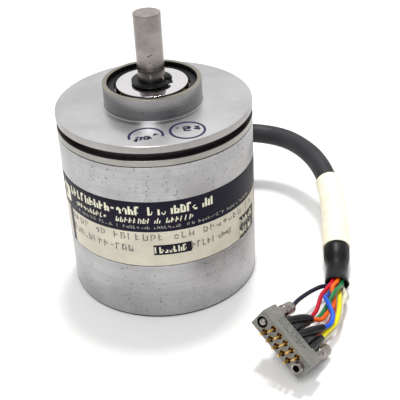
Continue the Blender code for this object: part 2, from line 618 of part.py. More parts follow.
def build_optical_head(plastic, lens, board, black):
    """A C-shaped frame that reaches over and under the disc's edge."""
    turn = place_on_azimuth(HEAD_AZIMUTH)
    slot_top = DISC_TOP_Z + ROOM_ABOVE_DISC
    slot_bottom = DISC_BOTTOM_Z - ROOM_BELOW_DISC
    arm_bottom = slot_bottom - HEAD_ARM
    foot = BOARD_TOP_Z + GAP
    outline = [(HEAD_INNER, HEAD_TOP_Z), (HEAD_INNER, slot_top), (HEAD_SPINE, slot_top),
               (HEAD_SPINE, slot_bottom), (HEAD_INNER, slot_bottom), (HEAD_INNER, arm_bottom),
               (HEAD_SPINE, arm_bottom), (HEAD_SPINE, foot), (HEAD_OUTER, foot),
               (HEAD_OUTER, HEAD_TOP_Z)]
    bm = bmesh.new()
    face = bm.faces.new([bm.verts.new((r, -HEAD_WIDTH / 2, z)) for r, z in outline])
    grown = bmesh.ops.extrude_face_region(bm, geom=[face])
    moved = [v for v in grown["geom"] if isinstance(v, bmesh.types.BMVert)]
    bmesh.ops.translate(bm, vec=(0, HEAD_WIDTH, 0), verts=moved)
    bmesh.ops.transform(bm, matrix=turn, verts=bm.verts)
    head = add_object("optical_head_frame", bm, plastic)
    place = turn @ Matrix.Translation((TRACK_R, 0, 0))
    hole = disc_profile(LAMP_R + GAP, slot_top - 1, HEAD_TOP_Z + 1)
    cut(head, join_meshes([(turned_mesh(hole, 16), place)]), "lamp_hole")
    dome_end = slot_top + GAP
    lamp = [(0, HEAD_TOP_Z), (LAMP_R, HEAD_TOP_Z), (LAMP_R, dome_end + LAMP_DOME),
            (LAMP_R * 0.75, dome_end + LAMP_DOME * 0.3), (0, dome_end)]
    add_object("lamp", join_meshes([(turned_mesh(lamp, 16), place)]), lens)
    mask_bottom = slot_bottom + GAP
    mask = block_mesh((HEAD_INNER + MASK_THICKNESS, -MASK_WIDTH / 2, mask_bottom),
                      (HEAD_SPINE - MASK_THICKNESS, MASK_WIDTH / 2, mask_bottom + MASK_THICKNESS))
    add_object("reticle_mask", join_meshes([(mask, turn)]), black)
    detector_top = arm_bottom - GAP
    detector = block_mesh((HEAD_INNER, -DETECTOR_WIDTH / 2, detector_top - DETECTOR_THICKNESS),
                          (HEAD_SPINE - GAP, DETECTOR_WIDTH / 2, detector_top))
    add_object("detector_board", join_meshes([(detector, turn)]), board)


# ---- circuit board, posts and screws ---------------------------------------

def build_board(board, plastic):
    main = turned("main_board", disc_profile(BOARD_R, BOARD_BOTTOM_Z, BOARD_TOP_Z), 28, board)
    hole = disc_profile(POST_BORE_R, BOARD_BOTTOM_Z - 1, BOARD_TOP_Z + 1)
    cut(main, join_meshes([(turned_mesh(hole, 12),
                            place_on_azimuth(a) @ Matrix.Translation((POST_CIRCLE_R, 0, 0)))
                           for a in POST_AZIMUTHS]), "board_holes")
    seat = BOARD_TOP_Z + GAP
    header = block_mesh((HEADER_FROM_R, -HEADER_WIDTH / 2, seat),
                        (HEADER_FROM_R + HEADER_DEPTH, HEADER_WIDTH / 2, seat + HEADER_HEIGHT))
    add_object("lead_header", join_meshes([(header, place_on_azimuth(GLAND_AZIMUTH))]), plastic)


def build_post_set(number, azimuth, brass, steel):
    """Upper post, lower post and cover screw on one line."""
    spot = place_on_azimuth(azimuth) @ Matrix.Translation((POST_CIRCLE_R, 0, 0))
    stud_top = SPIGOT_BOTTOM_Z + STUD_REACH
    stud_bottom = BOARD_TOP_Z - STUD_LENGTH
    upper = [(0, stud_top), (STUD_R, stud_top), (STUD_R, SPIGOT_BOTTOM_Z - GAP),
             (POST_R, SPIGOT_BOTTOM_Z - GAP), (POST_R, BOARD_TOP_Z + GAP),
             (STUD_R, BOARD_TOP_Z + GAP), (STUD_R, stud_bottom), (0, stud_bottom)]
    lower = ring_profile(POST_BORE_R, POST_R, COVER_FLOOR + GAP, BOARD_BOTTOM_Z - GAP)
    head_top = COUNTERBORE_DEPTH - GAP
    head_bottom = head_top - SCREW_HEAD_HEIGHT
    socket_end = head_bottom + SCREW_SOCKET_DEPTH
    screw = [(0, SCREW_LENGTH), (STUD_R, SCREW_LENGTH), (STUD_R, head_top),
             (SCREW_HEAD_R, head_top), (SCREW_HEAD_R, head_bottom),
             (SCREW_SOCKET_R, head_bottom), (SCREW_SOCKET_R, socket_end), (0, socket_end)]
    for name, profile, sides, material in (("upper_post", upper, 8, brass),
                                           ("lower_post", lower, 8, brass),
                                           ("cover_screw", screw, 10, steel)):
        mesh = join_meshes([(turned_mesh(profile, sides), spot)])
        add_object(f"{name}_{number}", mesh, material)


# ---- lead ------------------------------------------------------------------

def build_gland(rubber):
    inner_face = sqrt(COVER_INNER_R ** 2 - GLAND_FLANGE_R ** 2) - GAP
    inner_end = inner_face - GLAND_THICKNESS
    outer_face = BODY_R + GAP
    outer_end = outer_face + GLAND_THICKNESS
    profile = [(inner_end, GLAND_BORE_R), (inner_end, GLAND_FLANGE_R),
               (inner_face, GLAND_FLANGE_R), (inner_face, GLAND_R), (outer_face, GLAND_R),
               (outer_face, GLAND_FLANGE_R), (outer_end - 0.2, GLAND_FLANGE_R),
               (outer_end + 0.2, GLAND_BORE_R)]
    spun = turned_mesh([(r, s) for s, r in profile], 16)
    place = (place_on_azimuth(GLAND_AZIMUTH) @ Matrix.Translation((0, 0, GLAND_Z))
             @ Matrix.Rotation(pi / 2, 4, "Y"))
    add_object("cable_gland", join_meshes([(spun, place)]), rubber)


def build_lead(jacket, cream, black):
    fine, lengths = smooth_path(LEAD_ROUTE)
    cable_points = evenly_spaced(fine, lengths, JACKET_END, CABLE_STEPS)
    tube_along("signal_cable", cable_points, CABLE_R, 3, jacket)
    sleeve_end = SLEEVE_START + SLEEVE_LENGTH
    sleeve_r = CABLE_R + SLEEVE_WALL
    steps = 5
    outer = [(SLEEVE_START + SLEEVE_LENGTH * k / steps, sleeve_r) for k in range(steps + 1)]
    inner = [(s, CABLE_R + GAP) for s, r in reversed(outer)]
    sleeve_along("marker_sleeve", fine, lengths, outer + inner, 12, cream)
    start = sleeve_end + GAP
    mouth = lengths[-1]
    flare = mouth - 1.5
    shoulder = start + 3.5
    neck = JACKET_END + 1.0
    waist = neck + 2.5
    top_r = CABLE_R + BOOT_TOP_WALL
    boot = [(start, top_r), (shoulder, top_r), (neck, top_r), (waist, BOOT_NECK_R),
            (flare, BOOT_NECK_R), (mouth, BOOT_MOUTH_R), (mouth, BOOT_MOUTH_R - BOOT_WALL),
            (flare, BOOT_NECK_R - BOOT_WALL), (waist, BOOT_NECK_R - BOOT_WALL),
            (neck, CABLE_R + GAP), (shoulder, CABLE_R + GAP), (start, CABLE_R + GAP)]
    sleeve_along("heat_shrink_boot", fine, lengths, boot, 12, black)


def build_wires():
    for name, route in WIRE_ROUTES.items():
        plastic = finish(name + "_insulation", WIRE_COLOURS[name], 0.35, 0.0)
        fine, lengths = smooth_path(route)
        points = evenly_spaced(fine, lengths, lengths[-1], round(lengths[-1] / WIRE_STEP))
        tube_along(f"wire_{name}", points, WIRE_R, 2, plastic)


# ---- connector ---------------------------------------------------------------

def contact_places():
    """The upper row and then the lower one, each centred a little to its own side."""
    middle = (CONTACT_COUNT - 1) / 2
    return [(centre + CONTACT_PITCH * (k - middle), y)
            for centre, y in ((UPPER_ROW_CENTRE, CONTACT_ROW_Y), (LOWER_ROW_CENTRE, -CONTACT_ROW_Y))
            for k in range(CONTACT_COUNT)]


def build_connector(nylon, gold, steel, frame):
    half_x = CONNECTOR_LENGTH / 2
    half_y = CONNECTOR_HEIGHT / 2
    body_mesh = block_mesh((-half_x, -half_y, -CONNECTOR_DEPTH), (half_x, half_y, 0))
    body = add_object("connector_body", body_mesh, nylon, frame)
    hole = disc_profile(CONTACT_R + GAP, -CONNECTOR_DEPTH - 1, 1)
    cutters = [(turned_mesh(hole, 8), Matrix.Translation((x, y, 0))) for x, y in contact_places()]
    for side, radius in ((-1, JACK_R), (1, SOCKET_R)):
        cutters.append((turned_mesh(disc_profile(radius + GAP, -CONNECTOR_DEPTH - 1, 1), 14),
                        Matrix.Translation((side * JACK_X, 0, 0))))
    cut(body, join_meshes(cutters), "contact_holes", frame)
    cup_top = -CONNECTOR_DEPTH - GAP
    pin = [(0, CONTACT_REACH), (CONTACT_R * 0.6, CONTACT_REACH),
           (CONTACT_R, CONTACT_REACH - 0.35), (CONTACT_R, cup_top), (CUP_R, cup_top),
           (CUP_R, cup_top - CUP_LENGTH), (0, cup_top - CUP_LENGTH)]
    for k, (x, y) in enumerate(contact_places()):
        contact = turned(f"contact_{k + 1}", pin, 6, gold, frame)
        contact.location = Vector((x, y, 0)) * MM
    build_jackscrews(steel, frame)


def build_jackscrews(steel, frame):
    neck_top = -CONNECTOR_DEPTH - GAP
    head_top = neck_top - JACK_NECK
    head_end = head_top - JACK_HEAD
    grip = [(JACK_NECK_R, neck_top), (JACK_NECK_R, head_top), (JACK_HEAD_R, head_top - 0.3),
            (JACK_HEAD_R, head_end + 0.4), (JACK_HEAD_R - 0.4, head_end), (0, head_end)]
    screw = [(0, JACK_TIP), (JACK_R - 0.3, JACK_TIP), (JACK_R, JACK_TIP - 0.4), (JACK_R, neck_top)]
    bore_r = SOCKET_R - SOCKET_WALL
    socket = [(0, -SOCKET_DEPTH), (bore_r, -SOCKET_DEPTH), (bore_r, SOCKET_REACH),
              (SOCKET_R, SOCKET_REACH), (SOCKET_R, neck_top)]
    for number, side, shank in ((1, -1, screw), (2, 1, socket)):
        place = Vector((side * JACK_X, 0, 0))
        jack = turned(f"jackscrew_{number}", shank + grip, 14, steel, frame)
        jack.location = place * MM
        slot = block_mesh((-JACK_HEAD_R - 1, -JACK_SLOT_WIDTH / 2, head_end - 1),
                          (JACK_HEAD_R + 1, JACK_SLOT_WIDTH / 2, head_end + JACK_SLOT_DEPTH))
        cut(jack, join_meshes([(slot, Matrix.Translation(place))]), f"jackscrew_slot_{number}", frame)


# ---- whole encoder -------------------------------------------------------------

def main():
    for old in list(bpy.data.objects):
        bpy.data.objects.remove(old, do_unlink=True)
    aluminium = finish("satin_aluminium", (0.62, 0.62, 0.63), 0.38, 1.0)
    steel = finish("ground_steel", (0.50, 0.47, 0.44), 0.3, 1.0)
    black_steel = finish("black_steel", (0.02, 0.02, 0.02), 0.4, 0.6)
    brass = finish("brass", (0.7, 0.5, 0.2), 0.35, 1.0)
    glass = finish("disc_glass", (0.6, 0.7, 0.7), 0.05, 0.0)
    board = finish("circuit_board", (0.02, 0.16, 0.07), 0.5, 0.0)
    white = finish("white_plastic", (0.75, 0.75, 0.7), 0.5, 0.0)
    black = finish("black_plastic", (0.02, 0.02, 0.022), 0.5, 0.0)
    lens = finish("clear_lens", (0.7, 0.75, 0.8), 0.08, 0.0)
    rubber = finish("black_rubber", (0.02, 0.02, 0.02), 0.7, 0.0)
    film = finish("label_film", (0.03, 0.03, 0.05), 0.4, 0.0)
    jacket = finish("grey_jacket", (0.06, 0.06, 0.065), 0.5, 0.0)
    cream = finish("cream_sleeve", (0.85, 0.8, 0.6), 0.6, 0.0)
    nylon = finish("grey_nylon", (0.36, 0.37, 0.33), 0.5, 0.0)
    gold = finish("gold_plate", (0.9, 0.6, 0.15), 0.25, 1.0)

    axle = bpy.data.objects.new("shaft_axis", None)
    front_carrier = bpy.data.objects.new("front_cage_axis", None)
    rear_carrier = bpy.data.objects.new("rear_cage_axis", None)
    connector_frame = bpy.data.objects.new("connector_frame", None)
    for empty in (axle, front_carrier, rear_carrier, connector_frame):
        bpy.context.collection.objects.link(empty)
    connector_frame.location = Vector(CONNECTOR_PLACE) * MM
    connector_frame.rotation_euler = Euler([radians(a) for a in CONNECTOR_TURN])

    build_front_flange(aluminium)
    build_cover(aluminium)
    build_cover_seal(rubber)
    build_label(film)
    build_shaft(steel, axle)
    build_shaft_ring(black_steel, axle)
    build_bore_ring(black_steel)
    build_bearing("front", FRONT_BEARING_Z, steel, brass, axle, front_carrier)
    build_bearing("rear", REAR_BEARING_Z, steel, brass, axle, rear_carrier)
    build_spacers(steel, axle)
    build_code_disc(aluminium, glass, axle)
    build_optical_head(black, lens, board, black)
    build_board(board, white)
    for number, azimuth in enumerate(POST_AZIMUTHS, 1):
        build_post_set(number, azimuth, brass, steel)
    build_gland(rubber)
    build_lead(jacket, cream, black)
    build_wires()
    build_connector(nylon, gold, steel, connector_frame)


main()
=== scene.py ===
from math import sin, cos, pi, radians, hypot

import bmesh
import bpy
from mathutils import Euler, Matrix, Vector


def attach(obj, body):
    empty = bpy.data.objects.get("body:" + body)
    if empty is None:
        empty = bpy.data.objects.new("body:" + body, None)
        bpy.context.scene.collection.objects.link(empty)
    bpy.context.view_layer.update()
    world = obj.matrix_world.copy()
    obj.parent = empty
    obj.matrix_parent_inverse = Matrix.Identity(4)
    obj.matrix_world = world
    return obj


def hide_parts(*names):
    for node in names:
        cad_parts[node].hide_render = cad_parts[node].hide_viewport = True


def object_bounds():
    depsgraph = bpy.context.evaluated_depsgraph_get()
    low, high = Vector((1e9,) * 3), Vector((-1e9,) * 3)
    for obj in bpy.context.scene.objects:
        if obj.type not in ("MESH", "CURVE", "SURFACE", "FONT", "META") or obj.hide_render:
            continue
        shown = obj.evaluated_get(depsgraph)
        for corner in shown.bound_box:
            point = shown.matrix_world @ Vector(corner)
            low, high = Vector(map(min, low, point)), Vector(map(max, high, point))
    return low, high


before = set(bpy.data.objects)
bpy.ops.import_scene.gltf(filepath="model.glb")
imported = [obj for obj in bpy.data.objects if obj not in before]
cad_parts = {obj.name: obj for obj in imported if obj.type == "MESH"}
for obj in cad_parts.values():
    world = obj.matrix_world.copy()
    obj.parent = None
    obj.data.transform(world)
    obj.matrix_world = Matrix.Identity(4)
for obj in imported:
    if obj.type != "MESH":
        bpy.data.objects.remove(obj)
cadLow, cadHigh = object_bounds()
mm = 0.001


# the camera

cameraSet = {
    "place": (0.0132, -0.2653, 0.1882),
    "tilt": 58.365,
    "roll": -3.13,
    "lens": 81.48,
    "sensor": 36.0,
}


def makeCamera(camera):
    data = bpy.data.cameras.new("camera")
    data.lens = camera["lens"]
    data.sensor_width = camera["sensor"]
    data.clip_start = 0.01
    eye = bpy.data.objects.new("camera", data)
    bpy.context.collection.objects.link(eye)
    tilt = Matrix.Rotation(radians(camera["tilt"]), 4, "X")
    roll = Matrix.Rotation(radians(camera["roll"]), 4, "Z")
    eye.matrix_world = Matrix.Translation(camera["place"]) @ tilt @ roll
    bpy.context.scene.camera = eye


makeCamera(cameraSet)


# shader building

def feed(tree, value, socket):
    if isinstance(value, bpy.types.NodeSocket):
        tree.links.new(value, socket)
    else:
        socket.default_value = value


def put(tree, kind, inputs=None, **settings):
    node = tree.nodes.new(kind)
    for name, value in settings.items():
        setattr(node, name, value)
    for name, value in (inputs or {}).items():
        feed(tree, value, node.inputs[name])
    return node


def calc(tree, operation, *values):
    node = tree.nodes.new("ShaderNodeMath")
    node.operation = operation
    for value, socket in zip(values, node.inputs):
        feed(tree, value, socket)
    return node.outputs[0]


def remap(tree, value, low, high, toLow=0.0, toHigh=1.0):
    node = put(tree, "ShaderNodeMapRange", {"Value": value, "From Min": low, "From Max": high,
                                            "To Min": toLow, "To Max": toHigh})
    node.interpolation_type = "SMOOTHSTEP"
    return node.outputs[0]


def mixColour(tree, amount, first, second):
    node = put(tree, "ShaderNodeMix", data_type="RGBA")
    for name, value in (("Factor_Float", amount), ("A_Color", first), ("B_Color", second)):
        socket = next(s for s in node.inputs if s.identifier == name)
        feed(tree, (*value, 1.0) if isinstance(value, tuple) else value, socket)
    return next(s for s in node.outputs if s.identifier == "Result_Color")


def objectPlace(tree):
    return put(tree, "ShaderNodeTexCoord").outputs["Object"]


def newGroup(name, inputs, outputs):
    group = bpy.data.node_groups.new(name, "ShaderNodeTree")
    for title, kind, value in inputs:
        socket = group.interface.new_socket(title, in_out="INPUT", socket_type=kind)
        if value is not None:
            socket.default_value = value
    for title in outputs:
        group.interface.new_socket(title, in_out="OUTPUT", socket_type="NodeSocketFloat")
    return group, group.nodes.new("NodeGroupInput"), group.nodes.new("NodeGroupOutput")


def makeMottle():
    # Soft patches and small specks, scattered over a surface.
    group, start, end = newGroup(
        "mottle",
        [("Place", "NodeSocketVector", None), ("Patch Size", "NodeSocketFloat", 0.01),
         ("Speck Size", "NodeSocketFloat", 0.001), ("Speck Amount", "NodeSocketFloat", 0.1)],
        ["Patches", "Specks"])
    patchScale = calc(group, "DIVIDE", 1.0, start.outputs["Patch Size"])
    patches = put(group, "ShaderNodeTexNoise", {"Vector": start.outputs["Place"],
                                                "Scale": patchScale, "Detail": 4.0,
                                                "Roughness": 0.6})
    feed(group, remap(group, patches.outputs["Fac"], 0.3, 0.7), end.inputs["Patches"])
    speckScale = calc(group, "DIVIDE", 1.0, start.outputs["Speck Size"])
    specks = put(group, "ShaderNodeTexNoise", {"Vector": start.outputs["Place"],
                                               "Scale": speckScale, "Detail": 2.0,
                                               "Roughness": 0.5})
    edge = calc(group, "SUBTRACT", 0.78, calc(group, "MULTIPLY", start.outputs["Speck Amount"], 0.4))
    shown = calc(group, "SUBTRACT", specks.outputs["Fac"], edge)
    feed(group, remap(group, shown, 0.0, 0.04), end.inputs["Specks"])
    return group


def makeTurned():
    # Fine rings that a lathe leaves on a face and round a side.
    group, start, end = newGroup(
        "turned",
        [("Place", "NodeSocketVector", None), ("Ring Width", "NodeSocketFloat", 0.0003)],
        ["Rings", "Radius", "Height"])
    axes = put(group, "ShaderNodeSeparateXYZ", {"Vector": start.outputs["Place"]})
    x, y, z = axes.outputs
    radius = calc(group, "SQRT", calc(group, "ADD", calc(group, "MULTIPLY", x, x),
                                      calc(group, "MULTIPLY", y, y)))
    line = put(group, "ShaderNodeCombineXYZ", {"X": radius, "Y": z, "Z": 0.0})
    fine = put(group, "ShaderNodeTexNoise",
               {"Vector": line.outputs[0], "Detail": 3.0, "Roughness": 0.7,
                "Scale": calc(group, "DIVIDE", 1.0, start.outputs["Ring Width"])})
    feed(group, fine.outputs["Fac"], end.inputs["Rings"])
    feed(group, radius, end.inputs["Radius"])
    feed(group, z, end.inputs["Height"])
    return group


def makeStain():
    # A speckled streak down a round side, about one bearing and between two heights.
    group, start, end = newGroup(
        "stain",
        [("Place", "NodeSocketVector", None), ("Bearing", "NodeSocketFloat", 0.0),
         ("Width", "NodeSocketFloat", 0.05), ("Low", "NodeSocketFloat", 0.0),
         ("High", "NodeSocketFloat", 0.01), ("Grain", "NodeSocketFloat", 0.0006)],
        ["Mask"])
    axes = put(group, "ShaderNodeSeparateXYZ", {"Vector": start.outputs["Place"]})
    x, y, z = axes.outputs
    angle = calc(group, "ARCTAN2", y, x)
    across = calc(group, "DIVIDE", calc(group, "SUBTRACT", angle, start.outputs["Bearing"]),
                  start.outputs["Width"])
    near = calc(group, "SUBTRACT", 1.0, calc(group, "MULTIPLY", across, across))
    low, high = start.outputs["Low"], start.outputs["High"]
    middle = calc(group, "MULTIPLY", calc(group, "ADD", low, high), 0.5)
    half = calc(group, "MULTIPLY", calc(group, "SUBTRACT", high, low), 0.5)
    along = calc(group, "DIVIDE", calc(group, "SUBTRACT", z, middle), half)
    within = calc(group, "SUBTRACT", 1.0, calc(group, "MULTIPLY", along, along))
    both = calc(group, "MULTIPLY", calc(group, "MAXIMUM", near, 0.0),
                calc(group, "MAXIMUM", within, 0.0))
    grain = put(group, "ShaderNodeTexNoise",
                {"Vector": start.outputs["Place"], "Detail": 3.0, "Roughness": 0.65,
                 "Scale": calc(group, "DIVIDE", 1.0, start.outputs["Grain"])})
    spots = remap(group, grain.outputs["Fac"], 0.5, 0.68)
    feed(group, calc(group, "MULTIPLY", both, spots), end.inputs["Mask"])
    return group


mottleGroup = makeMottle()
turnedGroup = makeTurned()
stainGroup = makeStain()


def useGroup(tree, group, place, **values):
    node = tree.nodes.new("ShaderNodeGroup")
    node.node_tree = group
    feed(tree, place, node.inputs["Place"])
    for name, value in values.items():
        title = "".join(" " + c if c.isupper() else c for c in name).title()
        feed(tree, value, node.inputs[title])
    return node.outputs


def newMaterial(name, roughness=0.5, metallic=0.0, colour=(0.5, 0.5, 0.5), **shaderValues):
    material = bpy.data.materials.new(name)
    material.use_nodes = True
    tree = material.node_tree
    shader = tree.nodes["Principled BSDF"]
    shader.inputs["Base Color"].default_value = (*colour, 1.0)
    shader.inputs["Roughness"].default_value = roughness
    shader.inputs["Metallic"].default_value = metallic
    for title, value in shaderValues.items():
        shader.inputs[title.replace("_", " ")].default_value = value
    return material, tree, shader


def addBump(tree, shader, height, distance, strength=1.0):
    bump = put(tree, "ShaderNodeBump", {"Height": height, "Distance": distance,
                                        "Strength": strength})
    feed(tree, bump.outputs["Normal"], shader.inputs["Normal"])


def makeFinish(name, light, dark, roughness, metallic=0.0, patch=0.01, speck=0.0008,
               specks=0.1, speckColour=None, roughSpread=0.08, bump=0.00002, **shaderValues):
    # A finish with soft tone changes, small specks and a faint texture.
    material, tree, shader = newMaterial(name, roughness, metallic, **shaderValues)
    place = objectPlace(tree)
    spots = useGroup(tree, mottleGroup, place, patchSize=patch, speckSize=speck,
                     speckAmount=specks)
    colour = mixColour(tree, spots["Patches"], dark, light)
    if speckColour:
        colour = mixColour(tree, spots["Specks"], colour, speckColour)
    feed(tree, colour, shader.inputs["Base Color"])
    feed(tree, remap(tree, spots["Patches"], 0.0, 1.0, roughness + roughSpread / 2,
                     roughness - roughSpread / 2), shader.inputs["Roughness"])
    fine = put(tree, "ShaderNodeTexNoise", {"Vector": place, "Scale": 0.6 / speck, "Detail": 3.0})
    addBump(tree, shader, fine.outputs["Fac"], bump)
    return material


# paths, turned shapes and sleeves

def smoothLine(route, steps=12):
    # Catmull-Rom curve through the points of a route.
    ends = [2 * route[0] - route[1]], [2 * route[-1] - route[-2]]
    pts = ends[0] + route + ends[1]
    line = []
    for a, b, c, d in zip(pts, pts[1:], pts[2:], pts[3:]):
        for t in (k / steps for k in range(steps)):
            line.append(0.5 * (2 * b + (c - a) * t + (2 * a - 5 * b + 4 * c - d) * t ** 2
                               + (3 * b - a - 3 * c + d) * t ** 3))
    return line + [pts[-2]]


def distancesOf(line):
    found = [0.0]
    for a, b in zip(line, line[1:]):
        found.append(found[-1] + (b - a).length)
    return found


def pointAt(line, distances, s):
    if s <= 0:
        return line[0] + (line[0] - line[1]).normalized() * -s
    for k in range(len(line) - 1):
        if s <= distances[k + 1]:
            return line[k].lerp(line[k + 1], (s - distances[k]) / (distances[k + 1] - distances[k]))
    return line[-1] + (line[-1] - line[-2]).normalized() * (s - distances[-1])


def directionAt(line, distances, s, reach=0.5):
    ahead = pointAt(line, distances, s + reach)
    return (ahead - pointAt(line, distances, s - reach)).normalized()


def cutLine(line, start, end, spacing=0.5):
    distances = distancesOf(line)
    count = max(2, round((end - start) / spacing))
    return [pointAt(line, distances, start + (end - start) * k / count) for k in range(count + 1)]


def addPiece(name, bm, materials, body, replaces=(), sharp=35.0, scale=mm):
    # A mesh in millimetres becomes a piece in metres that rides on a body.
    bmesh.ops.scale(bm, vec=(scale,) * 3, verts=bm.verts)
    mesh = bpy.data.meshes.new(name)
    bm.to_mesh(mesh)
    bm.free()
    for material in materials if isinstance(materials, (list, tuple)) else [materials]:
        mesh.materials.append(material)
    mesh.shade_smooth()
    mesh.set_sharp_from_angle(angle=radians(sharp))
    piece = bpy.data.objects.new(name, mesh)
    bpy.context.collection.objects.link(piece)
    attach(piece, body)
    if replaces:
        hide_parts(*replaces)
    return piece


def softened(corners, steps=3):
    # Outline with each corner (r, z, rounding) turned into a short curve.
    count = len(corners)
    closed = corners[0][0] > 0
    outline = []
    for k, (r, z, rounding) in enumerate(corners):
        here = Vector((r, z))
        if rounding <= 0 or (not closed and k in (0, count - 1)):
            outline.append(here)
            continue
        before = Vector(corners[k - 1][:2])
        after = Vector(corners[(k + 1) % count][:2])
        first = here + (before - here).normalized() * rounding
        last = here + (after - here).normalized() * rounding
        for t in (j / steps for j in range(steps + 1)):
            outline.append(first * (1 - t) ** 2 + here * 2 * t * (1 - t) + last * t ** 2)
    return outline


def turnedMesh(corners, steps=144, arc=360.0, rounding=3):
    # Spin an outline about Z. One that starts at r 0 also ends there.
    outline = softened(corners, rounding)
    bm = bmesh.new()
    verts = [bm.verts.new((p.x, 0, p.y)) for p in outline]
    edges = [bm.edges.new(pair) for pair in zip(verts, verts[1:])]
    if corners[0][0] > 0:
        edges.append(bm.edges.new((verts[-1], verts[0])))
    whole = arc >= 360.0
    geom = verts + edges
    if not whole:
        geom.append(bm.faces.new(verts))
    bmesh.ops.spin(bm, geom=geom, cent=(0, 0, 0), axis=(0, 0, 1), angle=radians(arc),
                   steps=steps, use_merge=whole, use_duplicate=False)
    bmesh.ops.remove_doubles(bm, verts=bm.verts, dist=1e-5)
    bmesh.ops.dissolve_degenerate(bm, edges=bm.edges, dist=1e-6)
    bmesh.ops.recalc_face_normals(bm, faces=bm.faces)
    return bm


def moved(bm, matrix):
    bmesh.ops.transform(bm, matrix=matrix, verts=bm.verts)
    return bm


def joined(meshes):
    whole = bmesh.new()
    for bm in meshes:
        temp = bpy.data.meshes.new("temp")
        bm.to_mesh(temp)
        bm.free()
        whole.from_mesh(temp)
        bpy.data.meshes.remove(temp)
    return whole


def sleeveMesh(line, outline, sides=32, shape=None):
    # Carry a closed (distance, radius) outline round a bent line.
    distances = distancesOf(line)
    bm = bmesh.new()
    rings = []
    for s, r in outline:
        centre = pointAt(line, distances, s)
        forward = directionAt(line, distances, s)
        side = forward.cross(Vector((0, 0, 1))).normalized()
        up = side.cross(forward)
        ring = []
        for a in (2 * pi * k / sides for k in range(sides)):
            more, ahead = shape(s, a) if shape else (0.0, 0.0)
            ring.append(bm.verts.new(centre + (r + more) * (cos(a) * side + sin(a) * up)
                                     + ahead * forward))
        rings.append(ring)
    for ring, following in zip(rings, rings[1:] + rings[:1]):
        for k in range(sides):
            n = (k + 1) % sides
            bm.faces.new((ring[k], ring[n], following[n], following[k]))
    bmesh.ops.recalc_face_normals(bm, faces=bm.faces)
    return bm


def carve(bm, cutters):
    # Take closed cutters out of a mesh, with an exact Boolean.
    pieces = []
    for name, source in (("carved", bm), ("cutters", joined(cutters))):
        mesh = bpy.data.meshes.new(name)
        source.to_mesh(mesh)
        source.free()
        piece = bpy.data.objects.new(name, mesh)
        bpy.context.collection.objects.link(piece)
        pieces.append(piece)
    target, cutter = pieces
    cut = target.modifiers.new("cut", "BOOLEAN")
    cut.object = cutter
    cut.solver = "EXACT"
    graph = bpy.context.evaluated_depsgraph_get()
    result = bpy.data.meshes.new_from_object(target.evaluated_get(graph))
    out = bmesh.new()
    out.from_mesh(result)
    for piece in pieces:
        bpy.data.objects.remove(piece)
    bpy.data.meshes.remove(result)
    bmesh.ops.remove_doubles(out, verts=out.verts, dist=1e-4)
    return out


def boxMesh(low, high, bevel=0.0, segments=3):
    bm = bmesh.new()
    bmesh.ops.create_cube(bm, size=1.0)
    size = Vector(high) - Vector(low)
    bmesh.ops.scale(bm, vec=size, verts=bm.verts)
    bmesh.ops.translate(bm, vec=(Vector(high) + Vector(low)) / 2, verts=bm.verts)
    if bevel:
        bmesh.ops.bevel(bm, geom=bm.edges[:], offset=bevel, segments=segments, affect="EDGES",
                        profile=0.6)
    return bm


def onBearing(degrees):
    return Matrix.Rotation(radians(degrees), 4, "Z")


# the lead and its wires come first, on the routes that the solids take

leadSet = {
    "route": [(4.5, 24.6, 24.6), (6.0, 31.9, 24.6), (9.0, 39.0, 24.1), (13.4, 45.4, 23.4),
              (19.4, 50.3, 22.6), (26.5, 53.4, 21.8), (34.2, 54.5, 21.2), (41.9, 53.0, 20.7),
              (48.4, 48.8, 20.5), (53.3, 42.6, 20.2), (56.7, 35.7, 19.8), (59.0, 28.4, 18.9),
              (60.4, 20.9, 17.3), (60.9, 13.4, 15.1), (60.7, 6.1, 12.6), (60.1, -1.2, 10.1),
              (59.4, -8.6, 7.4), (58.5, -15.9, 4.7), (57.2, -23.8, 4.3)],
    "radius": 3.7,
    "jacketEnd": 128.8,
    "sleeveStart": 93.3,
    "sleeveLength": 30.9,
    "sleeveTopRadius": 4.38,
    "sleeveEndRadius": 4.72,
    "seamAt": 0.66,
}
leadLine = smoothLine([Vector(p) for p in leadSet["route"]])

